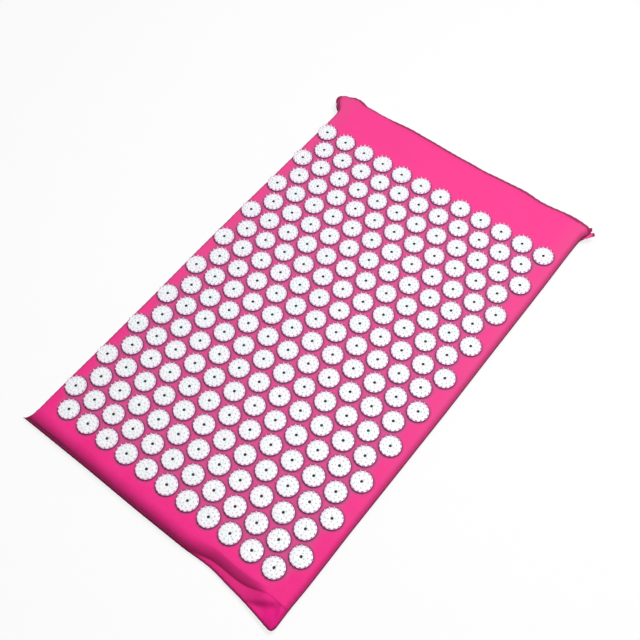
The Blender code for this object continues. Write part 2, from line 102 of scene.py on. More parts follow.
# Tables of places and lengths along the cover are in millimetres.
# Near end, as x, then the width of the slack flap along the edge, how far its back stands above
# the seam, the width of the wall behind it, up to where the cloth lies flat, how evenly the flap
# rises, and how round the wall is: 2 for a quarter round, and towards 1 for a straight slope
NEAR_FOLD = (
    (-199, 1.6, 3.0, 18.0, 0.8, 2.0), (-150, 1.6, 3.0, 16.0, 0.8, 2.0),
    (30, 1.6, 3.0, 15.5, 0.8, 2.0), (60, 1.8, 3.0, 15.5, 0.8, 2.0),
    (75, 3.4, 3.4, 14.0, 0.8, 1.7), (93, 7.4, 4.4, 11.0, 0.8, 1.4),
    (114, 9.2, 4.8, 10.0, 0.8, 1.3), (131, 11.0, 4.8, 10.0, 0.8, 1.3),
    (146, 13.6, 6.0, 9.6, 0.8, 1.3), (160, 19.5, 10.5, 6.6, 0.7, 1.3),
    (170, 25.0, 16.5, 6.0, 0.6, 1.7), (186, 28.0, 17.0, 8.0, 0.6, 2.0),
    (199, 28.0, 17.0, 9.0, 0.6, 2.0))
# How far the near edge is drawn in, along x
NEAR_WAVE = (
    (-199, 0.0), (-100, 0.6), (-20, 0.0), (60, 0.6), (75, 2.0), (95, 3.2), (108, 2.6), (125, 1.0),
    (145, 0.5), (165, -0.4), (185, -1.0), (199, -0.6))
# How far the seam sinks along the near edge
NEAR_SEAM_SINK = (
    (-199, 7.4), (-150, 7.8), (30, 7.8), (80, 7.2), (120, 6.6), (150, 5.8), (180, 4.0), (199, 3.2))
# How far the far edge stands out, along x
FAR_WAVE = (
    (-199, -1.2), (-188, -0.7), (-168, -0.4), (-155, -1.2), (-142, -0.4), (-125, -0.2),
    (-103, 1.8), (-85, 2.8), (-70, 2.0), (-50, 1.9), (-30, 0.9), (0, 0.4), (14, 1.0), (35, 0.0),
    (53, 1.8), (75, 2.9), (92, 4.1), (105, 4.0), (120, 1.6), (131, 1.0), (145, 2.4), (160, 4.4),
    (172, 5.8), (185, 5.2), (199, 2.0))
# How far the left and the right side stand out, along y
SIDE_WAVE = (
    (-326, 0.6, 0.6), (-280, 1.0, 2.0), (-200, 0.4, 1.2), (-100, 0.2, 1.6), (0, 0.8, 1.8),
    (80, 0.6, 1.0), (150, -0.8, 0.6), (220, -1.4, 0.2), (290, -2.2, -1.0), (326, 0.0, 0.0))
# How far the sides swing out near the far corners, along y
FAR_RIGHT_FLARE = (
    (302, 0.0), (309, 0.2), (313, 1.6), (317, 3.8), (320, 5.0), (323, 5.2), (326, 4.0))
FAR_LEFT_FLARE = (
    (284, 0.0), (294, 1.2), (299, 4.0), (304, 9.0), (308, 12.2), (312, 14.4), (316, 15.6),
    (320, 15.8), (326, 15.2))
# Tips of the two corners that are rounded off
NEAR_RIGHT_TIP = (200.5, -342.4)
FAR_LEFT_TIP = (-214.2, 323.6)
# A short crease from the near edge towards the right corner
SHORT_CREASE = ((151.0, -332.5), (193.0, -312.0))
SHORT_CREASE_WIDTH = 5.5 * MM
SHORT_CREASE_REACH = 24 * MM
SHORT_CREASE_DEPTH = 7 * MM
# The top cloth's swell beside the resting slider
SWELL_X = SLIDER_REST_X - 9 * MM
SWELL_RISE = 4.6 * MM
SWELL_HALF_WIDTH = 18 * MM
# How much wider the near end is on each side, and still wider at the left corner
NEAR_LEFT_SPREAD = 6 * MM
NEAR_RIGHT_SPREAD = 1 * MM
NEAR_LEFT_CORNER_SPREAD = 8.5 * MM
# How much further the near edge reaches at the right than at the left, and still further at the
# right corner
NEAR_SLANT = 6 * MM
NEAR_RIGHT_CORNER_REACH = 10.5 * MM
# How far the far edge draws back by the left corner
FAR_LEFT_DIP = 2.6 * MM
# Places of the grids: distance between columns, start of the even rows of the top cloth, and the
# rows that make the wall beside the zip
TOP_COLUMN_SPACING = 3.2 * MM
BOTTOM_COLUMN_SPACING = 6 * MM
EVEN_START_Y = NEAR_CUT_Y + 8 * MM
WALL_ROWS = 12
# Unevenness of the cloth: slack between the discs, long and short billows, and puckers by the seams
SLACK_FROM_DISC = 12.6 * MM
SLACK_RISE = 0.25 * MM
LONG_BILLOW = 0.35 * MM
SHORT_BILLOW = 0.10 * MM
SIDE_PUCKER = 0.30 * MM
END_PUCKER = 0.25 * MM
# How much thinner the foam is at its corners than in its middle
FOAM_CROWN = 1.2 * MM

# Colours of the cover's cotton: its own pale and deep colours, then painted light towards the far end,
# painted light and shade on the sides, painted light at the near right corner, and painted shade between
# and round the discs
PALE_COTTON = (0.93, 0.039, 0.280)
DEEP_COTTON = (0.87, 0.024, 0.228)
PAINTED_LIGHT_FAR_COTTON = (0.87, 0.050, 0.268)
PAINTED_SIDE_LIGHT_AND_SHADE = (0.74, 0.082, 0.255)
PAINTED_LIGHT_CORNER_COTTON = (1.0, 0.016, 0.300)
PAINTED_SHADE_BETWEEN_DISCS = (0.55, 0.096, 0.245)
PAINTED_SHADOW_NEAR_DISCS = (0.34, 0.060, 0.175)
PAINTED_SHADOW_AT_DISCS = (0.20, 0.035, 0.140)
# Painted shade: darker strips of the cotton along its rounded edges, its seam, its far end and the unlit
# left wall, by the way from an edge in millimetres: where the strip begins, is full, starts to fade and
# ends, then its strength and its colour. left_seam is the seam of the left side only.
PAINTED_EDGE_SHADE_STRIPS = (
    ("seam", -1, 0, 3, 9, 0.24, (0.70, 0.030, 0.185)),
    ("far_end", -1, 0, 8, 15, 0.35, (0.70, 0.045, 0.200)),
    ("far_end", 1.2, 2.6, 7.0, 9.4, 0.92, (0.27, 0.028, 0.095)),
    ("left_seam", 6.2, 7.4, 11.4, 13.4, 0.62, (0.25, 0.030, 0.105)),
    ("seam", -1, 0, 1.4, 3.6, 0.8, (0.22, 0.008, 0.070)))
# Stretches over which the cotton's painted light and shade change, in millimetres: along y or x, and from
# a disc's middle
FAR_STRETCH = (-300, 50)
SIDE_STRETCH = (170, 195)
CORNER_STRETCHES = ((150, 185), (-308, -322))
LEFT_STRETCH = (-100, -150)
BETWEEN_DISCS = (15, 22)
NEAR_DISCS = (14.2, 17.2)
AT_DISCS = (14.1, 15.1)
# The same for the discs' plastic and its painted light, along y and from a disc's middle
PLASTIC_STRETCH = (100, -280)
RIM_STRETCH = (7, 13)
# Colours of the discs' plastic, each at the far end and, lighter as painted light, at the near end; the
# one by the rim is pink as painted light bounced from the cotton
BLUISH_PLASTIC = ((0.770, 0.860, 0.900), (0.870, 0.945, 0.980))
WHITE_PLASTIC = ((0.840, 0.850, 0.895), (0.925, 0.925, 0.970))
PAINTED_PINK_BOUNCE_PLASTIC = ((0.930, 0.775, 0.905), (0.985, 0.850, 0.980))
# Colours of the zip
PALE_TAPE = (0.50, 0.010, 0.12)
DEEP_TAPE = (0.36, 0.006, 0.08)
PALE_METAL = (0.72, 0.71, 0.70)
DARK_METAL = (0.50, 0.49, 0.49)
# How much of its own white the floor shows to the camera, the rest being light and shadow
FLOOR_GLOW = 0.82

# Studio and the photograph's view; the focal length comes from the photo, in its pixels
FLOOR_HALF_SIZE = 20.0
FLOOR_DEPTH = 0.2 * MM
KEY_LIGHT_PLACE = (0.40, 0.5, 2.0)
KEY_LIGHT_SIZE = (0.9, 0.9)
KEY_LIGHT_POWER = 44.0
SKY_STRENGTH = 0.16
CAMERA_PLACE = (0.4564, -0.5075, 1.154)
CAMERA_RIGHT = (0.786, 0.617, -0.040)
CAMERA_FORWARD = (-0.3445, 0.3827, -0.8572)
SENSOR_WIDTH = 36.0
PHOTO_WIDTH_PIXELS = 640
FOCAL_LENGTH_PIXELS = 1037


class Wire:
    """A node's output that takes part in Python arithmetic."""

    def __init__(self, nodes, socket):
        self.nodes, self.socket = nodes, socket

    def math(self, operation, *others, swap=False):
        values = (*others, self) if swap else (self, *others)
        return self.nodes.add("ShaderNodeMath", {"operation": operation}, dict(enumerate(values)))

    def out(self, name):
        return Wire(self.nodes, self.socket.node.outputs[name])

    def __add__(self, other):
        return self.math("ADD", other)

    def __radd__(self, other):
        return self.math("ADD", other)

    def __sub__(self, other):
        return self.math("SUBTRACT", other)

    def __rsub__(self, other):
        return self.math("SUBTRACT", other, swap=True)

    def __mul__(self, other):
        return self.math("MULTIPLY", other)

    def __rmul__(self, other):
        return self.math("MULTIPLY", other)

    def __truediv__(self, other):
        return self.math("DIVIDE", other)

    def __rtruediv__(self, other):
        return self.math("DIVIDE", other, swap=True)

    def __pow__(self, other):
        return self.math("POWER", other)

    def __mod__(self, other):
        return self.math("MODULO", other)

    def __abs__(self):
        return self.math("ABSOLUTE")

    def __gt__(self, other):
        return self.math("GREATER_THAN", other)


class Nodes:
    """Adds nodes to a tree: their settings first, then the values or wires of their sockets."""

    def __init__(self, tree):
        self.tree = tree

    def add(self, kind, settings=None, inputs=None, output=0):
        node = self.tree.nodes.new(kind)
        for key, value in (settings or {}).items():
            setattr(node, key, value)
        for key, value in (inputs or {}).items():
            self.feed(node.inputs[key], value)
        return Wire(self, node.outputs[output]) if node.outputs else node

    def feed(self, socket, value):
        for one in value if isinstance(value, list) else [value]:
            if isinstance(one, Wire):
                self.tree.links.new(one.socket, socket)
            else:
                socket.default_value = one


# Materials

class Finish(Nodes):
    """A material whose patterns are made from nodes around one Principled shader."""

    def __init__(self, name, **shader):
        self.material = bpy.data.materials.new(name)
        self.material.use_nodes = True
        super().__init__(self.material.node_tree)
        self.shader = self.tree.nodes["Principled BSDF"]
        for key, value in shader.items():
            socket = key.replace("_", " ").title().replace("Ior", "IOR")
            self.shader.inputs[socket].default_value = value

    def set(self, name, wire):
        self.feed(self.shader.inputs[name], wire)

    def place(self):
        return self.add("ShaderNodeTexCoord", output=3)

    def map(self, name):
        return self.add("ShaderNodeUVMap", {"uv_map": name})

    def noise(self, size, detail=2.0, vector=None, stretch=None):
        """Even noise from 0 to 1 whose grains are about the given size across."""
        vector = vector or self.place()
        if stretch:
            vector = self.add(
                "ShaderNodeVectorMath", {"operation": "MULTIPLY"}, {0: vector, 1: stretch})
        return self.add(
            "ShaderNodeTexNoise", None, {"Vector": vector, "Scale": 1 / size, "Detail": detail})

    def split(self, vector):
        part = self.add("ShaderNodeSeparateXYZ", None, {0: vector})
        return part, part.out("Y"), part.out("Z")

    def mix(self, share, first, second):
        colours = {key: value if isinstance(value, Wire) else (*value, 1.0)
                   for key, value in ((6, first), (7, second))}
        return self.add("ShaderNodeMix", {"data_type": "RGBA"}, {0: share, **colours}, output=2)

    def ramp(self, value, start, end, low=0.0, high=1.0):
        """Goes evenly from one level to the other while the value goes from start to end."""
        levels = {0: value, 1: start, 2: end, 3: low, 4: high}
        return self.add("ShaderNodeMapRange", None, levels)

    def bump(self, height, depth, strength=1.0, under=None):
        inputs = {"Height": height, "Distance": depth, "Strength": strength}
        if under:
            inputs["Normal"] = under
        return self.add("ShaderNodeBump", None, inputs)


def metres(stretch):
    """The ends of a stretch that is given in millimetres."""
    return [end * MM for end in stretch]


def from_disc(finish):
    """How far a point lies from the middle of the nearest disc of the pattern."""
    x, y, _ = finish.split(finish.place())
    below = ((FIRST_ROW_Y - y) / ROW_PITCH).math("FLOOR")
    nearest = None
    for row in (below, below + 1):
        row = row.math("MAXIMUM", 0).math("MINIMUM", ROW_COUNT - 1)
        column = (x - PATTERN_OFFSET) / DISC_PITCH + (1 - row % 2) / 2
        middle = column.math("ROUND").math("MAXIMUM", 1 - LONG_ROW / 2)
        middle = middle.math("MINIMUM", LONG_ROW / 2 - row % 2)
        across = (column - middle) * DISC_PITCH
        down = FIRST_ROW_Y - row * ROW_PITCH - y
        distance = (across * across + down * down).math("SQRT")
        nearest = nearest.math("MINIMUM", distance) if nearest else distance
    return nearest


def cotton_painted_light_and_shade(cloth, colour):
    """Painted light and shade on the cover's cotton: paler towards the far end, paler and duller on the
    sides and brighter at the near right corner; darker between the discs, round them and along its edges.
    """
    x, y, _ = cloth.split(cloth.place())
    # painted light: the cotton turns paler towards the far end
    far = cloth.ramp(y, *metres(FAR_STRETCH))
    colour = cloth.mix(far, colour, PAINTED_LIGHT_FAR_COTTON)
    # painted light and shade: paler and duller on the rounded sides of the far half
    side = cloth.ramp(abs(x), *metres(SIDE_STRETCH), 0.0, 0.6)
    colour = cloth.mix(side * far, colour, PAINTED_SIDE_LIGHT_AND_SHADE)
    # painted light: brighter at the near right corner, where the flap is lit
    corner_x, corner_y = (metres(stretch) for stretch in CORNER_STRETCHES)
    corner = cloth.ramp(x, *corner_x, 0.0, 0.85) * cloth.ramp(y, *corner_y)
    colour = cloth.mix(corner, colour, PAINTED_LIGHT_CORNER_COTTON)
    distance = from_disc(cloth)
    last_row = FIRST_ROW_Y - (ROW_COUNT - 1) * ROW_PITCH
    half_row = (LONG_ROW - 1) / 2 * DISC_PITCH
    # painted shade: darker cotton close round the discs, weaker at the edge rows of the pattern
    between = cloth.ramp(distance, *metres(BETWEEN_DISCS), 0.9, 0.0)
    for value, start, end in (
            (y, last_row - 6 * MM, last_row + 3 * MM), (y, FIRST_ROW_Y + 8 * MM, FIRST_ROW_Y),
            (abs(x - PATTERN_OFFSET), half_row + 7 * MM, half_row - 1 * MM)):
        between = between * cloth.ramp(value, start, end, 0.15, 1.0)
    colour = cloth.mix(between, colour, PAINTED_SHADE_BETWEEN_DISCS)
    # painted shadow: dark rings on the cotton just outside each disc's rim
    ring = cloth.ramp(distance, *metres(NEAR_DISCS), 0.68, 0.0)
    colour = cloth.mix(ring, colour, PAINTED_SHADOW_NEAR_DISCS)
    ring = cloth.ramp(distance, *metres(AT_DISCS), 0.85, 0.0)
    colour = cloth.mix(ring, colour, PAINTED_SHADOW_AT_DISCS)
    # painted shade along the seam, the far end and the left wall, by each point's way from them
    ways = {edge: cloth.add("ShaderNodeAttribute", {"attribute_name": "from_" + edge}, output=2)
            for edge in ("seam", "far_end")}
    ways["left_seam"] = ways["seam"]
    left = cloth.ramp(x, *metres(LEFT_STRETCH))
    for edge, rise, full, fade, end, strength, shade in PAINTED_EDGE_SHADE_STRIPS:
        share = cloth.ramp(ways[edge], fade * MM, end * MM, strength, 0.0)
        share = share * cloth.ramp(ways[edge], rise * MM, full * MM)
        if edge == "left_seam":
            share = share * left
        colour = cloth.mix(share, colour, shade)
    return colour


def woven(name, pale, deep, thread, roughness, sheen, sheen_tint, painted_light_and_shade=None):
    """Plain weave on the piece's own cloth map, with uneven threads and a little fading."""
    cloth = Finish(name, roughness=roughness, sheen_weight=sheen, sheen_roughness=0.45,
                   sheen_tint=(*sheen_tint, 1.0), specular_ior_level=0.12)
    along, across, _ = cloth.split(cloth.map("cloth"))
    turn = math.pi / thread
    crossing = (along * turn).math("SINE") * (across * turn).math("SINE")
    weave = abs(crossing) ** 0.6
    uneven_warp = cloth.noise(1 * MM, 1.0, cloth.map("cloth"), (1.0, 0.06, 1.0))
    uneven_weft = cloth.noise(1 * MM, 1.0, cloth.map("cloth"), (0.06, 1.0, 1.0))
    fade = cloth.noise(60 * MM, 3.0)
    mottle = cloth.noise(7 * MM, 3.0)
    tone = fade * 0.55 + mottle * 0.25 + (uneven_warp + uneven_weft) * 0.1
    colour = cloth.mix(cloth.ramp(tone, 0.32, 0.68), deep, pale)
    # over the weave's own colour, the cover's cotton takes its painted light and shade
    cloth.set("Base Color", painted_light_and_shade(cloth, colour) if painted_light_and_shade else colour)
    cloth.set("Roughness", roughness + (mottle - 0.5) * 0.12 + (crossing > 0) * 0.03)
    soft = cloth.bump(mottle, 0.15 * MM, 0.35)
    height = weave + (uneven_warp + uneven_weft) * 0.5
    cloth.set("Normal", cloth.bump(height, 0.07 * MM, 0.6, soft))
    return cloth.material


def moulded_plastic():
    """White, slightly see-through plastic: bluish on the deck, lighter towards the near end as painted
    light, and a little pink by the rim as painted light bounced from the cotton.
    """
    plastic = Finish("disc_plastic", base_color=(0.88, 0.88, 0.9, 1.0), roughness=0.3,
                     subsurface_weight=0.75, subsurface_radius=(1.0, 0.95, 0.95),
                     subsurface_scale=3.6 * MM)
    cloudy = plastic.noise(9 * MM, 2.0)
    grain = plastic.noise(0.9 * MM, 2.0)
    batch = plastic.noise(45 * MM, 0.0)
    _, y, _ = plastic.split(plastic.place())
    # painted light: the plastic is lighter towards the near end
    near_end = plastic.ramp(y, *metres(PLASTIC_STRETCH), 0.0, 0.8)
    bluish, white, pink_bounce = (
        plastic.mix(near_end, *tint) for tint in (BLUISH_PLASTIC, WHITE_PLASTIC, PAINTED_PINK_BOUNCE_PLASTIC))
    deck = plastic.mix(plastic.ramp(cloudy * 0.5 + batch * 0.5, 0.35, 0.65), bluish, white)
    # painted light: pink by the rim, as bounced from the cotton
    rim = plastic.ramp(from_disc(plastic), *metres(RIM_STRETCH))
    plastic.set("Base Color", plastic.mix(rim, deck, pink_bounce))
    plastic.set("Roughness", 0.24 + cloudy * 0.12 + grain * 0.06)
    plastic.set("Normal", plastic.bump(grain, 0.03 * MM, 0.4))
    return plastic.material


def painted_hole_shade():
    """Painted shade: the dark inside of the small hole in each disc."""
    shade = Finish("disc_hole", roughness=0.75)
    shade_mottle = shade.noise(1.2 * MM, 2.0)
    shade.set("Base Color", shade.mix(shade_mottle, (0.030, 0.018, 0.022), (0.070, 0.040, 0.052)))
    shade.set("Roughness", 0.6 + shade_mottle * 0.3)
    shade.set("Normal", shade.bump(shade_mottle, 0.1 * MM, 0.5))
    return shade.material


def zip_metal(name, pale, dark):
    """Cast and tumbled metal, rubbed bright in places."""
    metal = Finish(name, metallic=1.0, roughness=0.3)
    rub = metal.noise(3 * MM, 4.0)
    pits = metal.noise(0.25 * MM, 2.0)
    brushed = metal.noise(0.5 * MM, 1.0, stretch=(0.08, 1.0, 1.0))
    metal.set("Base Color", metal.mix(rub, dark, pale))
    metal.set("Roughness", 0.2 + rub * 0.16 + brushed * 0.12)
    metal.set("Normal", metal.bump(pits + brushed, 0.03 * MM, 0.35))
    return metal.material


def teeth_plastic():
    teeth = Finish("zip_teeth_plastic", roughness=0.4, coat_roughness=0.3)
    worn = teeth.noise(2.5 * MM, 3.0)
    teeth.set("Base Color", teeth.mix(worn, (0.50, 0.020, 0.15), (0.66, 0.035, 0.22)))
    teeth.set("Roughness", 0.3 + worn * 0.25)
    teeth.set("Normal", teeth.bump(worn, 0.05 * MM, 0.4))
    return teeth.material


def sewing_thread():
    thread = Finish("sewing_thread", roughness=0.6)
    twist = thread.noise(0.5 * MM, 1.0, stretch=(1.0, 0.3, 0.3))
    thread.set("Base Color", thread.mix(twist, (0.56, 0.012, 0.13), (0.82, 0.035, 0.24)))
    thread.set("Roughness", 0.5 + twist * 0.2)
    thread.set("Normal", thread.bump(twist, 0.08 * MM, 0.5))
    return thread.material


def foam_cells():
    """Open-celled foam: round pores of two sizes, darker towards their middles as painted shade in the
    pits.
    """
    foam = Finish("pale_foam", roughness=0.95)
    big = foam.add("ShaderNodeTexVoronoi", None, {"Vector": foam.place(), "Scale": 1 / (1.6 * MM)})
    small = foam.add("ShaderNodeTexVoronoi", None, {"Vector": foam.place(), "Scale": 1 / (0.7 * MM)})
    cells = big * 0.6 + small * 0.4
    # painted shade: darker where the bump sinks into a pore
    foam.set("Base Color", foam.mix(cells, (0.62, 0.58, 0.46), (0.86, 0.84, 0.76)))
    foam.set("Roughness", 0.85 + cells * 0.15)
    foam.set("Normal", foam.bump(cells, 0.5 * MM, 0.8))
    return foam.material


def seen_directly(nodes):
    """Above 0 for what the camera sees, also in a mirror or through something clear."""
    path = nodes.add("ShaderNodeLightPath")
    return path + path.out("Is Glossy Ray") + path.out("Is Transmission Ray")


def pale_floor():
    """The floor shows as white to the camera, with the object's shadow left on it."""
    floor = Finish("pale_floor", roughness=0.9, specular_ior_level=0.1)
    seen = seen_directly(floor) > 0.5
    grain = floor.noise(40 * MM, 2.0)
    tone = floor.mix(grain, (0.88, 0.88, 0.89), (0.92, 0.92, 0.92))
    floor.set("Base Color", floor.mix(seen, (0.30, 0.30, 0.30), tone))
    glow = floor.add("ShaderNodeEmission", None, {"Color": (1.0, 1.0, 1.0, 1.0), "Strength": 1.0})
    lit = Wire(floor, floor.shader.outputs[0])
    shown = floor.add("ShaderNodeMixShader", None, {0: seen * FLOOR_GLOW, 1: lit, 2: glow})
    output = floor.tree.nodes["Material Output"]
    floor.feed(output.inputs["Surface"], shown)
    return floor.material


# Mesh helpers

def mesh_object(name, mesh, *materials):
    item = bpy.data.objects.new(name, mesh)
    bpy.context.scene.collection.objects.link(item)
    for material in materials:
        mesh.materials.append(material)
    return item


def mesh_from(bm, name):
    mesh = bpy.data.meshes.new(name)
    bm.to_mesh(mesh)
    bm.free()
    return mesh


def join_rings(bm, ring, other, slot=0):
    """Close the band between two rings of as many corners."""
    for side in range(len(ring)):
        after = (side + 1) % len(ring)
        band = bm.faces.new([ring[side], ring[after], other[after], other[side]])
        band.material_index = slot


def grid_mesh(name, points, flip=False):
    """A sheet from an array of rows of points, with a cloth map in metres along both ways."""
    rows, columns = points.shape[:2]
    index = np.arange(rows * columns).reshape(rows, columns)
    corners = [index[:-1, :-1], index[:-1, 1:], index[1:, 1:], index[1:, :-1]]
    faces = np.stack(corners[::-1] if flip else corners, axis=-1).reshape(-1, 4)
    mesh = bpy.data.meshes.new(name)
    mesh.from_pydata(points.reshape(-1, 3).tolist(), [], faces.tolist())
    along_x = np.linalg.norm(np.diff(points[rows // 2], axis=0), axis=1)
    along_y = np.linalg.norm(np.diff(points[:, columns // 2], axis=0), axis=1)
    across, down = np.meshgrid(np.concatenate([[0], np.cumsum(along_x)]),
                               np.concatenate([[0], np.cumsum(along_y)]))
    flat = np.stack([across, down], axis=-1).reshape(-1, 2)
    loops = np.zeros(len(mesh.loops), dtype=np.int32)
    mesh.loops.foreach_get("vertex_index", loops)
    layer = mesh.uv_layers.new(name="cloth")
    layer.data.foreach_set("uv", flat[loops].astype(np.float32).ravel())
    mesh.shade_smooth()
    return mesh


def note_edges(mesh, points, bound_end):
    """Store each point's way along the cloth to its seam, and to where a bound end is widest."""
    def way(array, axis):
        steps = np.linalg.norm(np.diff(array, axis=axis), axis=-1)
        total = np.cumsum(steps, axis=axis)
        return np.concatenate([np.zeros_like(np.take(total, [0], axis=axis)), total], axis=axis)

    sides = np.minimum(way(points, 1), way(points[:, ::-1], 1)[:, ::-1])
    back = way(points[::-1], 0)[::-1]
    widest = np.take_along_axis(back, points[None, :, :, 1].argmax(axis=1), axis=0)
    from_far_end = np.maximum(back - widest, 0.0) if bound_end else np.ones_like(back)
    store(mesh, "from_seam", np.minimum(sides, way(points, 0)))
    store(mesh, "from_far_end", from_far_end)


def store(mesh, name, values):
    """Keep a number for each point of the mesh, under a name that a material can read."""
    note = mesh.attributes.new(name, "FLOAT", "POINT")
    note.data.foreach_set("value", values.astype(np.float32).ravel())


def thicken(item, thickness):
    wall = item.modifiers.new("thickness", "SOLIDIFY")
    wall.thickness = thickness
    wall.offset = -1.0
    wall.use_even_offset = False


def finish_piece(item, body, nodes=()):
    """Hide the solids that the piece takes the place of, and attach it to the body that it moves with."""
    if nodes:
        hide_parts(*nodes)
    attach(item, body)


def uneven(x, y, size, seed, waves=7):
    """Smooth unevenness from about -1 to 1, made of waves about as long as the given size."""
    rng = np.random.default_rng(seed)
    total = np.zeros(np.broadcast(x, y).shape)
    for _ in range(waves):
        angle, phase = rng.uniform(0, 2 * np.pi, 2)
        step = 2 * np.pi / (size * rng.uniform(0.7, 1.6))
        total = total + np.sin((x * np.cos(angle) + y * np.sin(angle)) * step + phase)
    return total / math.sqrt(waves)


def ease(value):
    """Smooth step from 0 to 1."""
    value = np.clip(value, 0.0, 1.0)
    return value * value * (3 - 2 * value)


def hump(value):
    """Smooth rise to 1 at 0, which ends at -1 and at 1."""
    return np.maximum(1 - value * value, 0.0) ** 2


# Cover

def quarter(steps):
    """Share of the way in from an edge, and share of the height, along a quarter round."""
    angle = np.linspace(0, np.pi / 2, steps + 1)
    return 1 - np.cos(angle), np.sin(angle)


def places_across(spacing):
    """Places across the cover, closer together on its round sides, and the share of height there."""
    way, lift = quarter(9)
    flat_end = HALF_WIDTH - SIDE_SHOULDER
    count = len(np.arange(-flat_end, flat_end + spacing / 2, spacing))
    flat = np.linspace(-flat_end, flat_end, count)[1:-1]
    edge = SIDE_SHOULDER * way - HALF_WIDTH
    places = np.concatenate([edge, flat, -edge[::-1]])
    return places, np.concatenate([lift, np.ones_like(flat), lift[::-1]])


def near_pull(y):
    """Share of the way from half a pitch past the last row of discs, 0, to the near edge, 1."""
    return np.clip((NEAR_CUT_Y - y) / (NEAR_CUT_Y + HALF_LENGTH), 0.0, 1.0)


def far_pull(y):
    """Share of the way from half a pitch before the first row of discs, 0, to the far edge, 1."""
    return np.clip((y - FAR_CUT_Y) / (HALF_LENGTH - FAR_CUT_Y), 0.0, 1.0)


def smooth_table(table, column, at):
    """Read a table of places in millimetres as a smooth curve."""
    places = np.array([row[0] for row in table]) * MM
    values = np.array([row[column] for row in table]) * MM
    fine = np.linspace(places[0], places[-1], 400)
    kernel = np.hanning(31)
    padded = np.pad(np.interp(fine, places, values), 15, mode="edge")
    return np.interp(at, fine, np.convolve(padded, kernel / kernel.sum(), mode="valid"))


def outline(x, y):
    """Where a point of the even pattern lies once the cover's ends and sides are drawn out."""
    near, far = near_pull(y) ** 2, far_pull(y) ** 2
    aside = np.abs(x) / HALF_WIDTH
    spread = near * np.where(x > 0, NEAR_RIGHT_SPREAD, NEAR_LEFT_SPREAD)
    spread = spread + near ** 3 * np.where(x > 0, 0.0, NEAR_LEFT_CORNER_SPREAD) * aside ** 6
    flare = np.where(x > 0, smooth_table(FAR_RIGHT_FLARE, 1, y), smooth_table(FAR_LEFT_FLARE, 1, y))
    spread = spread + flare * aside ** 14
    sideways = np.where(x > 0, smooth_table(SIDE_WAVE, 2, y), smooth_table(SIDE_WAVE, 1, y))
    spread = spread + sideways * aside ** 8
    slant = NEAR_SLANT * (x + HALF_WIDTH) / (2 * HALF_WIDTH)
    right = NEAR_RIGHT_CORNER_REACH * np.where(x > 0, aside ** CORNER_POWER, 0.0)
    moved_x = x * (1 + spread / HALF_WIDTH)
    moved_y = y - near * (slant + right)
    moved_y = moved_y + near * smooth_table(NEAR_WAVE, 1, x) + far * far_wave(x)
    for corner, way in ((NEAR_RIGHT_TIP, (1, -1)), (FAR_LEFT_TIP, (-1, 1))):
        moved_x, moved_y = blunt(moved_x, moved_y, corner, way)
    return moved_x, moved_y


def blunt(x, y, corner, way):
    """Round a corner off: what lies past a line across it is drawn back along its diagonal."""
    keep, reach = 7 * MM, 5 * MM
    way_x, way_y = way[0] / math.sqrt(2), way[1] / math.sqrt(2)
    past = (x - corner[0] * MM) * way_x + (y - corner[1] * MM) * way_y + keep
    past = np.maximum(past, 0.0)
    back = past - reach * (1 - np.exp(-past / reach))
    return x - back * way_x, y - back * way_y


def seam_level(x, y):
    """Height of the seam, which sinks along the near end, and least at the right corner."""
    return SEAM_HEIGHT - near_pull(y) ** 2 * smooth_table(NEAR_SEAM_SINK, 1, x)


def far_wave(x):
    """How far the far edge stands out."""
    return smooth_table(FAR_WAVE, 1, x) - FAR_LEFT_DIP * ease((-x - 186 * MM) / (6 * MM))


def swell(x, y):
    """How far the top cloth swells out beside the resting slider."""
    return SWELL_RISE * hump((x - SWELL_X) / SWELL_HALF_WIDTH) * far_pull(y) ** 2


def even_rows(xs, lift_x):
    """Rows of the top cloth's outer face, from the brink of the near wall to the zip's opening."""
    way, lift = quarter(8)
    wall = FAR_WALL / (TOP_HEIGHT - SEAM_HEIGHT)
    opening = (ZIP_OPENING / 2) / (TOP_HEIGHT - SEAM_HEIGHT)
    even = np.linspace(EVEN_START_Y, HALF_LENGTH - FAR_SHOULDER, 190)
    far_y = HALF_LENGTH - FAR_SHOULDER * way[::-1]
    far_lift = wall + (1 - wall) * lift[::-1]
    ys = np.concatenate([even, far_y[1:], [HALF_LENGTH] * 2])
    lift_y = np.concatenate([np.ones_like(even), far_lift[1:], [(wall + opening) / 2, opening]])
    x, y = np.meshgrid(xs, ys)
    lift = lift_x[None, :] * lift_y[:, None]
    seam = seam_level(x, y) + SEAM_GAP / 2
    z = seam + (TOP_HEIGHT - seam) * lift
    moved_x, moved_y = outline(x, y + swell(x, y))
    # down the wall the waves die out, so that the edge by the zip is straight
    straight = 1 - ease((lift_y - opening) / (0.62 - opening))
    x, y, straight = x[-WALL_ROWS:], y[-WALL_ROWS:], straight[-WALL_ROWS:, None]
    moved_y[-WALL_ROWS:] -= straight * (far_wave(x) + swell(x, y))
    return np.stack([moved_x, moved_y, z], axis=-1)


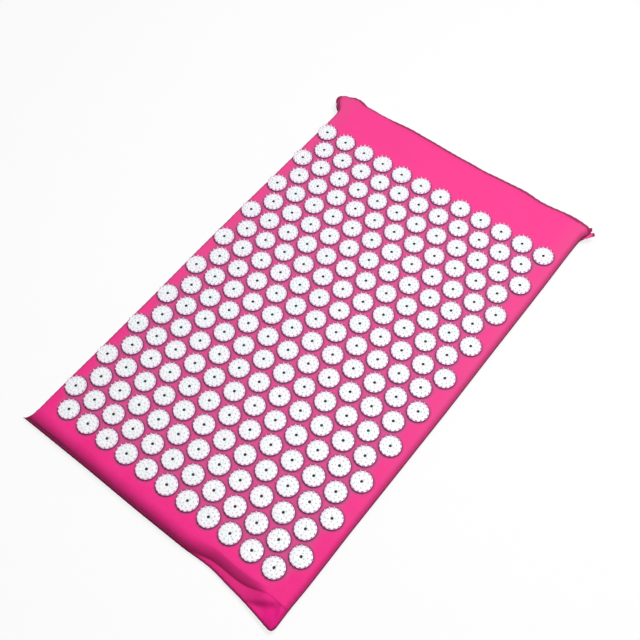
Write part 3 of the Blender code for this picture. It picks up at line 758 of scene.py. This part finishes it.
def near_rows(xs, lift_x, first_even_row):
    """Rows at the near end: a slack flap up from the seam, then a round wall up to the flat."""
    edge_x, edge_y = outline(xs, np.full_like(xs, -HALF_LENGTH))
    seam = seam_level(xs, -HALF_LENGTH) + SEAM_GAP / 2
    flap, back, wall = (smooth_table(NEAR_FOLD, column, xs) for column in (1, 2, 3))
    power, roundness = (smooth_table(NEAR_FOLD, column, xs) / MM for column in (4, 5))
    back = np.minimum(seam + back, TOP_HEIGHT - 0.5 * MM)
    corner = ease((xs - 156 * MM) / (20 * MM))
    rows = []
    for share in np.linspace(0, 1, 13)[:-1] ** 1.4:
        rise = (1 - corner) * share ** power + corner * (1 - (1 - share) ** 1.7)
        rows.append((edge_x, edge_y + flap * share, seam + (back - seam) * rise))
    for share in quarter(21)[0]:
        height = back + (TOP_HEIGHT - back) * (1 - (1 - share) ** roundness) ** (1 / roundness)
        rows.append((edge_x, edge_y + flap + wall * share, height))
    brink = rows[-1][1]
    for share in np.linspace(0, 1, 6)[1:-1]:
        row_y = brink + (first_even_row[:, 1] - brink) * share
        rows.append((edge_x, row_y, np.full_like(xs, TOP_HEIGHT)))
    near = np.stack([np.stack(row, axis=-1) for row in rows])
    follow_sides(near, xs, lift_x)
    return near


def follow_sides(near, xs, lift_x):
    """Let the near rows follow the cover's own sides, and come down with its shoulders."""
    even_y = np.linspace(-HALF_LENGTH, EVEN_START_Y, 60)
    for column, x in enumerate(xs):
        side_x, side_y = outline(np.full_like(even_y, x), even_y)
        pattern_y = np.interp(near[:, column, 1], side_y, even_y)
        near[:, column, 0] = np.interp(near[:, column, 1], side_y, side_x)
        seam = seam_level(np.full_like(pattern_y, x), pattern_y) + SEAM_GAP / 2
        near[:, column, 2] = seam + (near[:, column, 2] - seam) * lift_x[column]


def top_points():
    """The outer face of the top cloth, from the near seam to the zip's opening."""
    xs, lift_x = places_across(TOP_COLUMN_SPACING)
    even = even_rows(xs, lift_x)
    return np.concatenate([near_rows(xs, lift_x, even[0]), even])


def short_crease(x, y):
    """Depth of a step on the corner's side of a line, which eases out again towards the corner."""
    start, end = (np.array(point) * MM for point in SHORT_CREASE)
    run = end - start
    length = np.linalg.norm(run)
    run = run / length
    along = ((x - start[0]) * run[0] + (y - start[1]) * run[1]) / length
    across = (x - start[0]) * run[1] - (y - start[1]) * run[0]
    width = SHORT_CREASE_WIDTH * (1.05 - 0.6 * np.clip(along, 0, 1))
    step = ease(across / width) * ease((SHORT_CREASE_REACH - across) / (SHORT_CREASE_REACH - width))
    depth = SHORT_CREASE_DEPTH * (1 - 0.35 * np.clip(along, 0, 1))
    return depth * step * ease((1 - along) * 6) * ease(1 + along * 5)


def disc_places():
    """Middles of all the discs, as scene places."""
    places = []
    for row in range(ROW_COUNT):
        count = LONG_ROW - row % 2
        first_x = PATTERN_OFFSET - (count - 1) * DISC_PITCH / 2
        y = FIRST_ROW_Y - row * ROW_PITCH
        places += [(first_x + index * DISC_PITCH, y) for index in range(count)]
    return places


def pucker(way, pitch, drift):
    """A wave along a seam, whose pitch drifts a little."""
    return np.sin(way / pitch * 2 * np.pi + 2 * np.sin(way / drift))


def soften(points):
    """Unevenness of stretched cloth: slack between discs, the crease, and puckers by the seams."""
    x, y, z = (points[..., axis].copy() for axis in range(3))
    nearest = np.full(x.shape, 1.0)
    for disc_x, disc_y in disc_places():
        nearest = np.minimum(nearest, (x - disc_x) ** 2 + (y - disc_y) ** 2)
    slack = ease((np.sqrt(nearest) - SLACK_FROM_DISC) / (8 * MM))
    high = ease((z - SEAM_HEIGHT) / (TOP_HEIGHT - SEAM_HEIGHT))
    rise = SLACK_RISE + LONG_BILLOW * uneven(x, y, 70 * MM, 3) + SHORT_BILLOW * uneven(x, y, 19 * MM, 5)
    points[..., 2] += slack * rise * high
    points[..., 2] -= np.minimum(short_crease(x, y), 0.65 * np.maximum(z - seam_level(x, y), 0.0))
    side = ease(1 - (HALF_WIDTH - np.abs(x)) / (9 * MM))
    points[..., 0] += np.sign(x) * side * SIDE_PUCKER * pucker(y, 8.3 * MM, 41 * MM) * high
    near_end = ease(1 - (y + HALF_LENGTH + 2 * MM) / (10 * MM))
    end = np.maximum(near_end, ease(1 - (HALF_LENGTH - y) / (5 * MM)))
    points[..., 1] += end * np.sign(y) * END_PUCKER * pucker(x, 9.1 * MM, 37 * MM)
    return points


def build_top(cotton):
    points = soften(top_points())
    top = mesh_object("cover_top_cloth", grid_mesh("cover_top_cloth", points), cotton)
    note_edges(top.data, points, True)
    thicken(top, CLOTH)
    finish_piece(top, "mat", ["cover_top_near", "cover_top_far"])
    return points


def build_bottom(cotton):
    """The bottom cloth, flat on the floor and rounded up to the seam and the zip's opening."""
    xs, lift_x = places_across(BOTTOM_COLUMN_SPACING)
    way, lift = quarter(7)
    wall = FAR_WALL / SEAM_HEIGHT
    opening = (ZIP_OPENING / 2) / SEAM_HEIGHT
    near_y = NEAR_UNDER_SHOULDER * way - HALF_LENGTH
    far_y = HALF_LENGTH - FAR_SHOULDER * way[::-1]
    even = np.linspace(near_y[-1], far_y[0], 90)[1:-1]
    ys = np.concatenate([near_y, even, far_y, [HALF_LENGTH] * 2])
    lift_y = np.concatenate([lift, np.ones_like(even), wall + (1 - wall) * lift[::-1],
                             [(wall + opening) / 2, opening]])
    x, y = np.meshgrid(xs, ys)
    edge = 1 - lift_x[None, :] * lift_y[:, None]
    z = (seam_level(x, y) - SEAM_GAP / 2) * edge
    moved_x, moved_y = outline(x, y)
    moved_y -= far_pull(y) ** 2 * far_wave(x) * ease((y - 290 * MM) / (26 * MM))
    under = ease((SEAM_HEIGHT - z) / SEAM_HEIGHT)
    z = z + 0.2 * MM * ease(edge * 4) * (1 + uneven(x, y, 60 * MM, 8)) * under
    points = np.stack([moved_x, moved_y, z], axis=-1)
    mesh = grid_mesh("cover_bottom_cloth", points, flip=True)
    bottom = mesh_object("cover_bottom_cloth", mesh, cotton)
    note_edges(mesh, points, False)
    thicken(bottom, CLOTH)
    finish_piece(bottom, "mat", ["cover_bottom"])
    return points


def foam_stations(reach):
    """Places along the foam, closer together on its rounded ends, and the share of height there."""
    way, lift = quarter(6)
    flat = np.linspace(-reach + FOAM_ROUND, reach - FOAM_ROUND, int(reach / (5 * MM)))
    edge = FOAM_ROUND * way[:-1] - reach
    places = np.concatenate([edge, flat, -edge[::-1]])
    return places, np.concatenate([lift[:-1], np.ones_like(flat), lift[-2::-1]])


def build_foam(material):
    """The foam slab: rounded all round, a little crowned and uneven."""
    low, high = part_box("foam_core")
    middle, half = (low + high) / 2, (high - low) / 2
    (xs, lift_x), (ys, lift_y) = foam_stations(half.x), foam_stations(half.y)
    x, y = np.meshgrid(xs, ys)
    share = lift_x[None, :] * lift_y[:, None]
    bm = bmesh.new()
    for side, part in ((1, 0.8), (-1, 0.2)):
        fall = FOAM_CROWN * ((x / half.x) ** 2 + (y / half.y) ** 2) / 2
        fall = fall + 0.25 * MM * (1 + uneven(x, y, 90 * MM, 11 + side))
        z = middle.z + side * share * (half.z - 0.5 * MM - fall * part)
        points = np.stack([x + middle.x, y + middle.y, z], axis=-1)
        face = grid_mesh("foam_side", points, flip=side < 0)
        bm.from_mesh(face)
        bpy.data.meshes.remove(face)
    bmesh.ops.remove_doubles(bm, verts=bm.verts, dist=0.01 * MM)
    foam = mesh_object("foam_slab", mesh_from(bm, "foam_slab"), material)
    finish_piece(foam, "mat", ["foam_core"])


# Discs

# Section of a disc in millimetres, from the bottom of its hole up to the deck, and from the
# deck's edge down to its foot
HOLE_SECTION = ((1.35, 0.4), (1.5, 1.9))
HOLE_LIP = 1.9
DECK_EDGE = 13.3
FOOT_SECTION = ((13.4, 1.2), (12.4, 0.7), (12.3, 0.0))
# The deck's height, its fall to the edge, and the radius up to which it is flat, in millimetres
DECK_TOP = 2.4
DECK_FALL = 0.5
DECK_FLAT_RADIUS = 9.0
DISC_SIDES = 28
HOLE_SIDES = 14
# Rings of spikes: how many, radius of the ring, half width and half depth of a root, height,
# turn, and how far the tips lean outwards
SPIKE_RINGS = ((14, 12.2, 1.65, 1.0, 4.5, 0.0, 0.9), (9, 7.9, 1.1, 1.1, 4.2, 0.2, 0.2),
               (4, 4.2, 1.0, 1.0, 4.0, 0.4, 0.1))
ROOT_SIDES = 6


def deck_height(radius):
    """Height of the deck in millimetres, which falls a little towards the rim."""
    past = max(radius - DECK_FLAT_RADIUS, 0.0)
    return DECK_TOP - DECK_FALL * past ** 2 / (DECK_EDGE - DECK_FLAT_RADIUS) ** 2


def circle(radius, count):
    turns = [2 * math.pi * side / count for side in range(count)]
    return [(radius * math.cos(turn), radius * math.sin(turn)) for turn in turns]


def deck_points():
    """Points of the deck and its spikes in millimetres: in plan, and at their heights."""
    flat = circle(HOLE_LIP, HOLE_SIDES) + circle(DECK_EDGE, DISC_SIDES)
    raised = [(x, y, deck_height(math.hypot(x, y))) for x, y in flat]
    for count, radius, width, depth, rise, turn, lean in SPIKE_RINGS:
        for spike in range(count):
            way = turn + 2 * math.pi * spike / count
            out_x, out_y = math.cos(way), math.sin(way)
            for u, v in circle(1.0, ROOT_SIDES):
                x = (radius + u * depth) * out_x - v * width * out_y
                y = (radius + u * depth) * out_y + v * width * out_x
                flat.append((x, y))
                raised.append((x, y, deck_height(math.hypot(x, y))))
            tip = radius + lean
            flat.append((radius * out_x, radius * out_y))
            raised.append((tip * out_x, tip * out_y, deck_height(radius) + rise))
    return flat, raised


def disc_body(plastic, hole):
    """One closed disc: hole, deck with its 27 spikes, rim and foot."""
    flat, raised = deck_points()
    faces = delaunay_2d_cdt([Vector(point) for point in flat], [], [], 0, 1e-4)[2]
    bm = bmesh.new()
    top = [bm.verts.new(Vector(point) * MM) for point in raised]
    for corners in faces:
        if max(corners) >= HOLE_SIDES:
            bm.faces.new([top[corner] for corner in corners])
    lip, rim = top[:HOLE_SIDES], top[HOLE_SIDES:HOLE_SIDES + DISC_SIDES]
    # the hole's walls and floor take the second material, its painted shade
    for ring, section, slot in ((lip, HOLE_SECTION[::-1], 1), (rim, FOOT_SECTION, 0)):
        for radius, height in section:
            lower = [bm.verts.new((x * MM, y * MM, height * MM)) for x, y in circle(radius, len(ring))]
            join_rings(bm, ring, lower, slot)
            ring = lower
        bm.faces.new(ring).material_index = slot
    bmesh.ops.recalc_face_normals(bm, faces=bm.faces)
    for face in bm.faces:
        face.smooth = True
    mesh = mesh_from(bm, "disc_body")
    mesh.set_sharp_from_angle(angle=math.radians(60))
    return mesh_object("disc_body", mesh, plastic, hole)


class Repeat(Nodes):
    """A Geometry Nodes tree with named inputs for its sizes, which makes a piece of its own name."""

    def __init__(self, name):
        super().__init__(bpy.data.node_groups.new(name, "GeometryNodeTree"))
        self.entry = self.tree.nodes.new("NodeGroupInput")
        self.tree.interface.new_socket("Geometry", in_out="OUTPUT", socket_type="NodeSocketGeometry")
        self.values = {}

    def input(self, name, kind, value):
        item = self.tree.interface.new_socket(name, in_out="INPUT", socket_type=f"NodeSocket{kind}")
        self.values[item.identifier] = value
        return Wire(self, self.entry.outputs[name])

    def size(self, name, value):
        return self.input(name, "Float", value)

    def vector(self, x=0.0, y=0.0, z=0.0):
        return self.add("ShaderNodeCombineXYZ", None, {0: x, 1: y, 2: z})

    def shape(self, item):
        return self.add("GeometryNodeObjectInfo", None, {"Object": item}, output="Geometry")

    def repeated(self, item, points, turn, chosen=True):
        """Set an object on each chosen point, and make one geometry of them all."""
        placed = self.add("GeometryNodeInstanceOnPoints", None, {
            "Points": points, "Selection": chosen, "Instance": self.shape(item), "Rotation": turn})
        return self.add("GeometryNodeRealizeInstances", None, {"Geometry": placed})

    def finished(self, geometry, name, material):
        finish = self.input(name, "Material", material)
        return self.add("GeometryNodeSetMaterial", None, {"Geometry": geometry, "Material": finish})

    def made(self, geometry):
        """Run the tree on an empty piece, and turn what it makes into the piece's plain mesh."""
        name = self.tree.name
        piece = mesh_object(name, bpy.data.meshes.new(name))
        output = self.tree.nodes.new("NodeGroupOutput")
        self.feed(output.inputs["Geometry"], geometry)
        repeat = piece.modifiers.new("repeat", "NODES")
        repeat.node_group = self.tree
        for identifier, value in self.values.items():
            repeat[identifier] = value
        bpy.context.view_layer.update()
        evaluated = piece.evaluated_get(bpy.context.evaluated_depsgraph_get())
        mesh = bpy.data.meshes.new_from_object(evaluated)
        piece.modifiers.remove(repeat)
        piece.data = mesh
        bpy.data.node_groups.remove(self.tree)
        return piece


def build_discs(plastic, hole):
    """All the discs: a hexagonal field of one body, each turned a little further than the last."""
    body = disc_body(plastic, hole)
    tree = Repeat("spiked_discs")
    pitch = tree.size("Disc pitch", DISC_PITCH)
    row_pitch = tree.size("Row pitch", ROW_PITCH)
    first_row = tree.size("First row", FIRST_ROW_Y)
    offset = tree.size("Pattern offset", PATTERN_OFFSET)
    height = tree.size("Cloth height", TOP_HEIGHT)
    disc = tree.input("Disc body", "Object", body)
    number = tree.add("GeometryNodeInputIndex")
    row = (number / LONG_ROW + 0.001).math("FLOOR")
    column = number - row * LONG_ROW
    odd = row % 2
    across = (column + odd / 2 - (LONG_ROW - 1) / 2) * pitch + offset
    centre = tree.vector(across, first_row - row * row_pitch, height)
    field = tree.add("GeometryNodePoints", None, {"Count": ROW_COUNT * LONG_ROW, "Position": centre})
    # a short row has one disc less, so its last place stays free
    full = 1 - odd * (column > LONG_ROW - 1.5)
    whole = tree.repeated(disc, field, tree.vector(z=number * TURN_BETWEEN_DISCS), full)
    for name, finish in (("Plastic", plastic), ("Inside of the hole", hole)):
        finish = tree.input(name, "Material", finish)
        chosen = tree.add("GeometryNodeMaterialSelection", None, {"Material": finish})
        whole = tree.add("GeometryNodeSetMaterial", None, {
            "Geometry": whole, "Selection": chosen, "Material": finish})
    discs = tree.made(whole)
    bpy.data.objects.remove(body, do_unlink=True)
    nodes = [f"spike_row_{row + 1:02d}" for row in range(ROW_COUNT)]
    finish_piece(discs, "mat", nodes)


# Zip

# Ends of the two tapes past the cover's corners, in millimetres: middle of the tape, and the way
# from its toothed edge to its other edge
UPPER_RIGHT_EAR = (
    ((192, 323.9, 13.2), (0, 0, 3.6)), ((196.5, 324.8, 13.6), (0, 0.4, 3.6)),
    ((199.2, 326.0, 14.8), (-0.8, 1.6, 3.8)), ((201.4, 327.0, 15.6), (-1.8, 2.6, 3.6)),
    ((203.8, 328.0, 16.0), (-2.2, 3.0, 3.2)))
LOWER_RIGHT_EAR = (
    ((190, 323.9, 9.6), (0, 0, -3.6)), ((195, 322.5, 10.2), (0, -5, -1.5)),
    ((199.5, 318.2, 10.6), (0.8, -12, -1)), ((202.8, 319.6, 11.2), (2, -9, -1)),
    ((206.2, 322.8, 11.8), (2.6, -6.4, -0.6)), ((209.4, 326, 12.2), (3.2, -3.6, -0.4)))
UPPER_LEFT_EAR = (
    ((-192, 323.9, 13.2), (0, 0, 3.6)), ((-197, 324.9, 12.8), (0, -0.3, 3.0)),
    ((-200.5, 325.8, 13.0), (0, 0, 3.6)), ((-204, 326.2, 13.2), (0, 0, 3.8)),
    ((-207.5, 325.8, 13.2), (0, 0, 3.4)))
LOWER_LEFT_EAR = (
    ((-192, 323.9, 9.6), (0, 0, -3.6)), ((-198, 325.2, 10.2), (0, 0, -2.8)),
    ((-204.5, 325.4, 11.0), (0, 0, -4.4)), ((-210.0, 323.8, 11.6), (0, 0, -6)),
    ((-213.8, 320.2, 12.0), (0, 0, -6.8)), ((-215.4, 315.4, 12.0), (0, 0, -6.8)),
    ((-213.8, 309.8, 11.6), (0, 0, -6)), ((-209.4, 304.4, 11.0), (0, 0, -5)),
    ((-203.0, 299.0, 10.4), (0, 0, -3.4)))
# Station from which the lower tape's right end is covered with cotton, and station past which this cotton
# takes the painted seam shade in full
COTTON_END = (2, 4.3)
# Stations made between two of an ear's, and points across a tape
EAR_STEPS = 5
TAPE_POINTS = 9
# Heights of a tape's points in millimetres, from its toothed edge to its other edge
UPPER_TAPE_LEVELS = (11.95, 13.6, 15.2, 16.2, 17.2, 18.2, 19.1, 19.9, 20.6)
LOWER_TAPE_LEVELS = (10.65, 9.0, 7.4, 6.4, 5.4, 4.4, 3.6, 2.9, 2.4)
# Outline of a tooth in millimetres, as x and the way from its tape, and half its depth
TOOTH_OUTLINE = (
    (-0.42, -1.3), (0.42, -1.3), (0.42, -0.2), (0.72, 0.15), (0.66, 0.6), (0.36, 0.85),
    (-0.36, 0.85), (-0.66, 0.6), (-0.72, 0.15), (-0.42, -0.2))
TOOTH_HALF_DEPTH = 0.8


def through(points, steps):
    """Points of a smooth curve that goes through the given ones."""
    points = np.asarray(points, dtype=float)
    ends = np.concatenate([[2 * points[0] - points[1]], points, [2 * points[-1] - points[-2]]])
    made = []
    for a, b, c, d in zip(ends, ends[1:], ends[2:], ends[3:]):
        for share in np.linspace(0, 1, steps, endpoint=False):
            made.append(0.5 * (2 * b + (c - a) * share + (2 * a - 5 * b + 4 * c - d) * share ** 2
                               + (3 * b - a - 3 * c + d) * share ** 3))
    return np.array(made + [points[-1]])


def ear_rows(stations):
    """Rows of points across a tape's end, along the way that its stations show."""
    middles, ways = (through([station[part] for station in stations], EAR_STEPS) for part in (0, 1))
    across = np.linspace(-0.5, 0.5, TAPE_POINTS)[:, None]
    return [(middle + across * way) * MM for middle, way in zip(middles, ways)]


def wall_profile(wall, column):
    """Heights up a cover's wall at one of its columns, and how far out the wall is there."""
    profile = wall[np.argsort(wall[:, column, 2]), column]
    return profile[:, 2], profile[:, 1]


def build_tape(name, wall, levels, left_ear, right_ear, cotton, tape, node):
    """A zip tape: from its toothed edge it follows the inner face of the cover's wall."""
    levels = np.array(levels) * MM
    toothed_edge = (TAPE_BACK + TAPE_FRONT) / 2
    rows = []
    for x in np.linspace(-TAPE_HALF_LENGTH, TAPE_HALF_LENGTH, 94):
        column = np.abs(wall[0, :, 0] - x).argmin()
        inner = np.interp(levels, *wall_profile(wall, column)) - CLOTH - TAPE_THICKNESS
        rows.append(np.stack([np.full(len(levels), x), np.minimum(inner, toothed_edge), levels], axis=-1))
    left, right = ear_rows(left_ear)[::-1], ear_rows(right_ear)
    points = np.stack(left + rows + right)
    piece = mesh_object(name, grid_mesh(name, points, flip=levels[0] < levels[-1]), tape, cotton)
    # the cotton side of each tape reads no way from a seam, so the painted seam and far end shade darkens
    # it in full, save over the covered stretch
    covered = np.zeros(points.shape[:2])
    if right_ear is LOWER_RIGHT_EAR:
        start, end = (len(left) + len(rows) + round(EAR_STEPS * station) for station in COTTON_END)
        covered[start:end] = 30 * MM
        for face in piece.data.polygons:
            face.material_index = int(face.index // (len(levels) - 1) >= start)
    for note in ("from_seam", "from_far_end"):
        store(piece.data, note, covered)
    thickness = piece.modifiers.new("thickness", "SOLIDIFY")
    thickness.thickness = TAPE_THICKNESS
    thickness.offset = 0.0
    thickness.material_offset = 1
    finish_piece(piece, "mat", [node])


def tooth_body(plastic):
    """One tooth: a narrow neck on the tape and a wider head, with its long side along Z."""
    bm = bmesh.new()
    front, back = ([bm.verts.new((x * MM, depth * MM, z * MM)) for x, z in TOOTH_OUTLINE]
                   for depth in (TOOTH_HALF_DEPTH, -TOOTH_HALF_DEPTH))
    bm.faces.new(front)
    bm.faces.new(back[::-1])
    join_rings(bm, front, back)
    bmesh.ops.recalc_face_normals(bm, faces=bm.faces)
    return mesh_object("tooth", mesh_from(bm, "tooth"), plastic)


def build_teeth(name, plastic, upward, shift, node):
    """One row of teeth: the upper row is turned over and stands half a pitch along."""
    tooth = tooth_body(plastic)
    tree = Repeat(name)
    pitch = tree.size("Tooth pitch", TOOTH_PITCH)
    reach = tree.size("Half length of the row", CHAIN_HALF_LENGTH)
    depth = tree.size("Middle of the teeth", (TEETH_BACK + TEETH_FRONT) / 2)
    level = tree.size("Height of the teeth", SEAM_HEIGHT + (TOOTH_LEVEL if upward else -TOOTH_LEVEL))
    shape = tree.input("Tooth", "Object", tooth)
    number = tree.add("GeometryNodeInputIndex")
    place = tree.vector((number + shift) * pitch - reach, depth, level)
    count = (reach * 2 / pitch).math("FLOOR")
    row = tree.add("GeometryNodePoints", None, {"Count": count, "Position": place})
    teeth = tree.repeated(shape, row, (math.pi if upward else 0.0, 0.0, 0.0))
    piece = tree.made(tree.finished(teeth, "Plastic", plastic))
    bpy.data.objects.remove(tooth, do_unlink=True)
    finish_piece(piece, "mat", [node])


def stitch_path(wall, height):
    """A line of edges along the outer face of a cover's wall."""
    line = []
    for column in range(wall.shape[1]):
        x = wall[0, column, 0]
        if abs(x) < STITCHED_HALF_LENGTH:
            line.append((x, np.interp(height, *wall_profile(wall, column)), height))
    mesh = bpy.data.meshes.new("stitch_line")
    mesh.from_pydata(line, [(spot, spot + 1) for spot in range(len(line) - 1)], [])
    return mesh_object("stitch_line", mesh)


def stitch_body(thread):
    """One stitch: a long, thin round of thread along X."""
    bm = bmesh.new()
    size = Matrix.Diagonal((STITCH_HALF_LENGTH, STITCH_RADIUS, STITCH_RADIUS, 1.0))
    bmesh.ops.create_uvsphere(bm, u_segments=6, v_segments=4, radius=1.0,
                              matrix=size @ Matrix.Rotation(math.pi / 2, 4, "Y"))
    for face in bm.faces:
        face.smooth = True
    return mesh_object("stitch", mesh_from(bm, "stitch"), thread)


def build_stitches(name, wall, height, thread):
    """A row of stitches that holds a tape to the cover, along the zip's opening."""
    path, stitch = stitch_path(wall, height), stitch_body(thread)
    tree = Repeat(name)
    pitch = tree.size("Stitch pitch", STITCH_PITCH)
    way = tree.input("Path", "Object", path)
    shape = tree.input("Stitch", "Object", stitch)
    curve = tree.add("GeometryNodeMeshToCurve", None, {0: tree.shape(way)})
    even = tree.add("GeometryNodeResampleCurve", {"mode": "LENGTH"}, {"Curve": curve, "Length": pitch})
    turn = tree.add("FunctionNodeAlignRotationToVector", {"axis": "X"}, {
        "Vector": tree.add("GeometryNodeInputTangent")})
    row = tree.repeated(shape, even, turn)
    piece = tree.made(tree.finished(row, "Thread", thread))
    for helper in (path, stitch):
        bpy.data.objects.remove(helper, do_unlink=True)
    finish_piece(piece, "mat")


def build_zip(top, bottom, cotton, tape, plastic, thread):
    upper_wall, lower_wall = top[-WALL_ROWS:], bottom[-WALL_ROWS:]
    build_tape("upper_zip_tape", upper_wall, UPPER_TAPE_LEVELS, UPPER_LEFT_EAR, UPPER_RIGHT_EAR, cotton,
               tape, "zip_tape_upper")
    build_tape("lower_zip_tape", lower_wall, LOWER_TAPE_LEVELS, LOWER_LEFT_EAR, LOWER_RIGHT_EAR, cotton,
               tape, "zip_tape_lower")
    build_teeth("upper_teeth_row", plastic, True, 0.5, "zip_teeth_upper")
    build_teeth("lower_teeth_row", plastic, False, 0.0, "zip_teeth_lower")
    build_stitches("upper_stitches", upper_wall, UPPER_STITCH_HEIGHT, thread)
    build_stitches("lower_stitches", lower_wall, LOWER_STITCH_HEIGHT, thread)


# Light, floor and camera

def area_light(name, place, size, power):
    """A rectangular light that shines on the middle of the mat."""
    data = bpy.data.lights.new(name, "AREA")
    data.shape = "RECTANGLE"
    data.size, data.size_y = size
    data.energy = power
    light = bpy.data.objects.new(name, data)
    bpy.context.scene.collection.objects.link(light)
    light.location = place
    light.rotation_mode = "QUATERNION"
    light.rotation_quaternion = (-light.location).to_track_quat("-Z", "Y")


def build_studio():
    """A white floor and sky, and one soft light high above the far right corner."""
    bm = bmesh.new()
    bmesh.ops.create_grid(bm, x_segments=1, y_segments=1, size=FLOOR_HALF_SIZE)
    floor = mesh_object("floor", mesh_from(bm, "floor"), pale_floor())
    floor.location.z = -FLOOR_DEPTH
    world = bpy.data.worlds.new("studio")
    bpy.context.scene.world = world
    world.use_nodes = True
    sky = Nodes(world.node_tree)
    background = world.node_tree.nodes["Background"]
    sky.feed(background.inputs["Color"], (1.0, 1.0, 1.0, 1.0))
    strength = SKY_STRENGTH + (seen_directly(sky) > 0.5) * (1 - SKY_STRENGTH)
    sky.feed(background.inputs["Strength"], strength)
    area_light("key_light", KEY_LIGHT_PLACE, KEY_LIGHT_SIZE, KEY_LIGHT_POWER)
    bpy.context.scene.view_settings.view_transform = "Standard"


def build_camera():
    """The photograph's view: from the near right, steeply down."""
    forward = Vector(CAMERA_FORWARD).normalized()
    right = Vector(CAMERA_RIGHT)
    right = (right - forward * right.dot(forward)).normalized()
    turn = Matrix((right, right.cross(forward), -forward)).transposed()
    data = bpy.data.cameras.new("camera")
    data.sensor_width = SENSOR_WIDTH
    data.lens = SENSOR_WIDTH * FOCAL_LENGTH_PIXELS / PHOTO_WIDTH_PIXELS
    data.clip_start, data.clip_end = 0.01, 3 * FLOOR_HALF_SIZE
    camera = bpy.data.objects.new("camera", data)
    bpy.context.scene.collection.objects.link(camera)
    camera.matrix_world = Matrix.Translation(CAMERA_PLACE) @ turn.to_4x4()
    bpy.context.scene.camera = camera


def dress(node, material):
    """Give a solid that stays in view a better finish and softened edges."""
    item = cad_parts[node]
    item.data.materials.clear()
    item.data.materials.append(material)
    merge = item.modifiers.new("merged_corners", "WELD")
    merge.merge_threshold = 0.01 * MM
    soften_edges = item.modifiers.new("softened_edges", "BEVEL")
    soften_edges.width = 0.22 * MM
    soften_edges.segments = 2
    soften_edges.limit_method = "ANGLE"
    soften_edges.angle_limit = math.radians(35)


def main():
    build_camera()
    build_studio()
    cotton = woven("pink_cotton", PALE_COTTON, DEEP_COTTON, 0.45 * MM, 0.72, 0.06, (1.0, 0.35, 0.6),
                   cotton_painted_light_and_shade)
    tape = woven("zip_tape_cloth", PALE_TAPE, DEEP_TAPE, 0.6 * MM, 0.75, 0.2, (1.0, 0.4, 0.6))
    plastic, hole = moulded_plastic(), painted_hole_shade()
    metal = zip_metal("slider_metal", PALE_METAL, DARK_METAL)
    top = build_top(cotton)
    bottom = build_bottom(cotton)
    build_foam(foam_cells())
    build_discs(plastic, hole)
    build_zip(top, bottom, cotton, tape, teeth_plastic(), sewing_thread())
    for node in ("zip_top_stop_upper", "zip_top_stop_lower", "zip_bottom_stop", "zip_slider", "zip_pull"):
        dress(node, metal)


main()
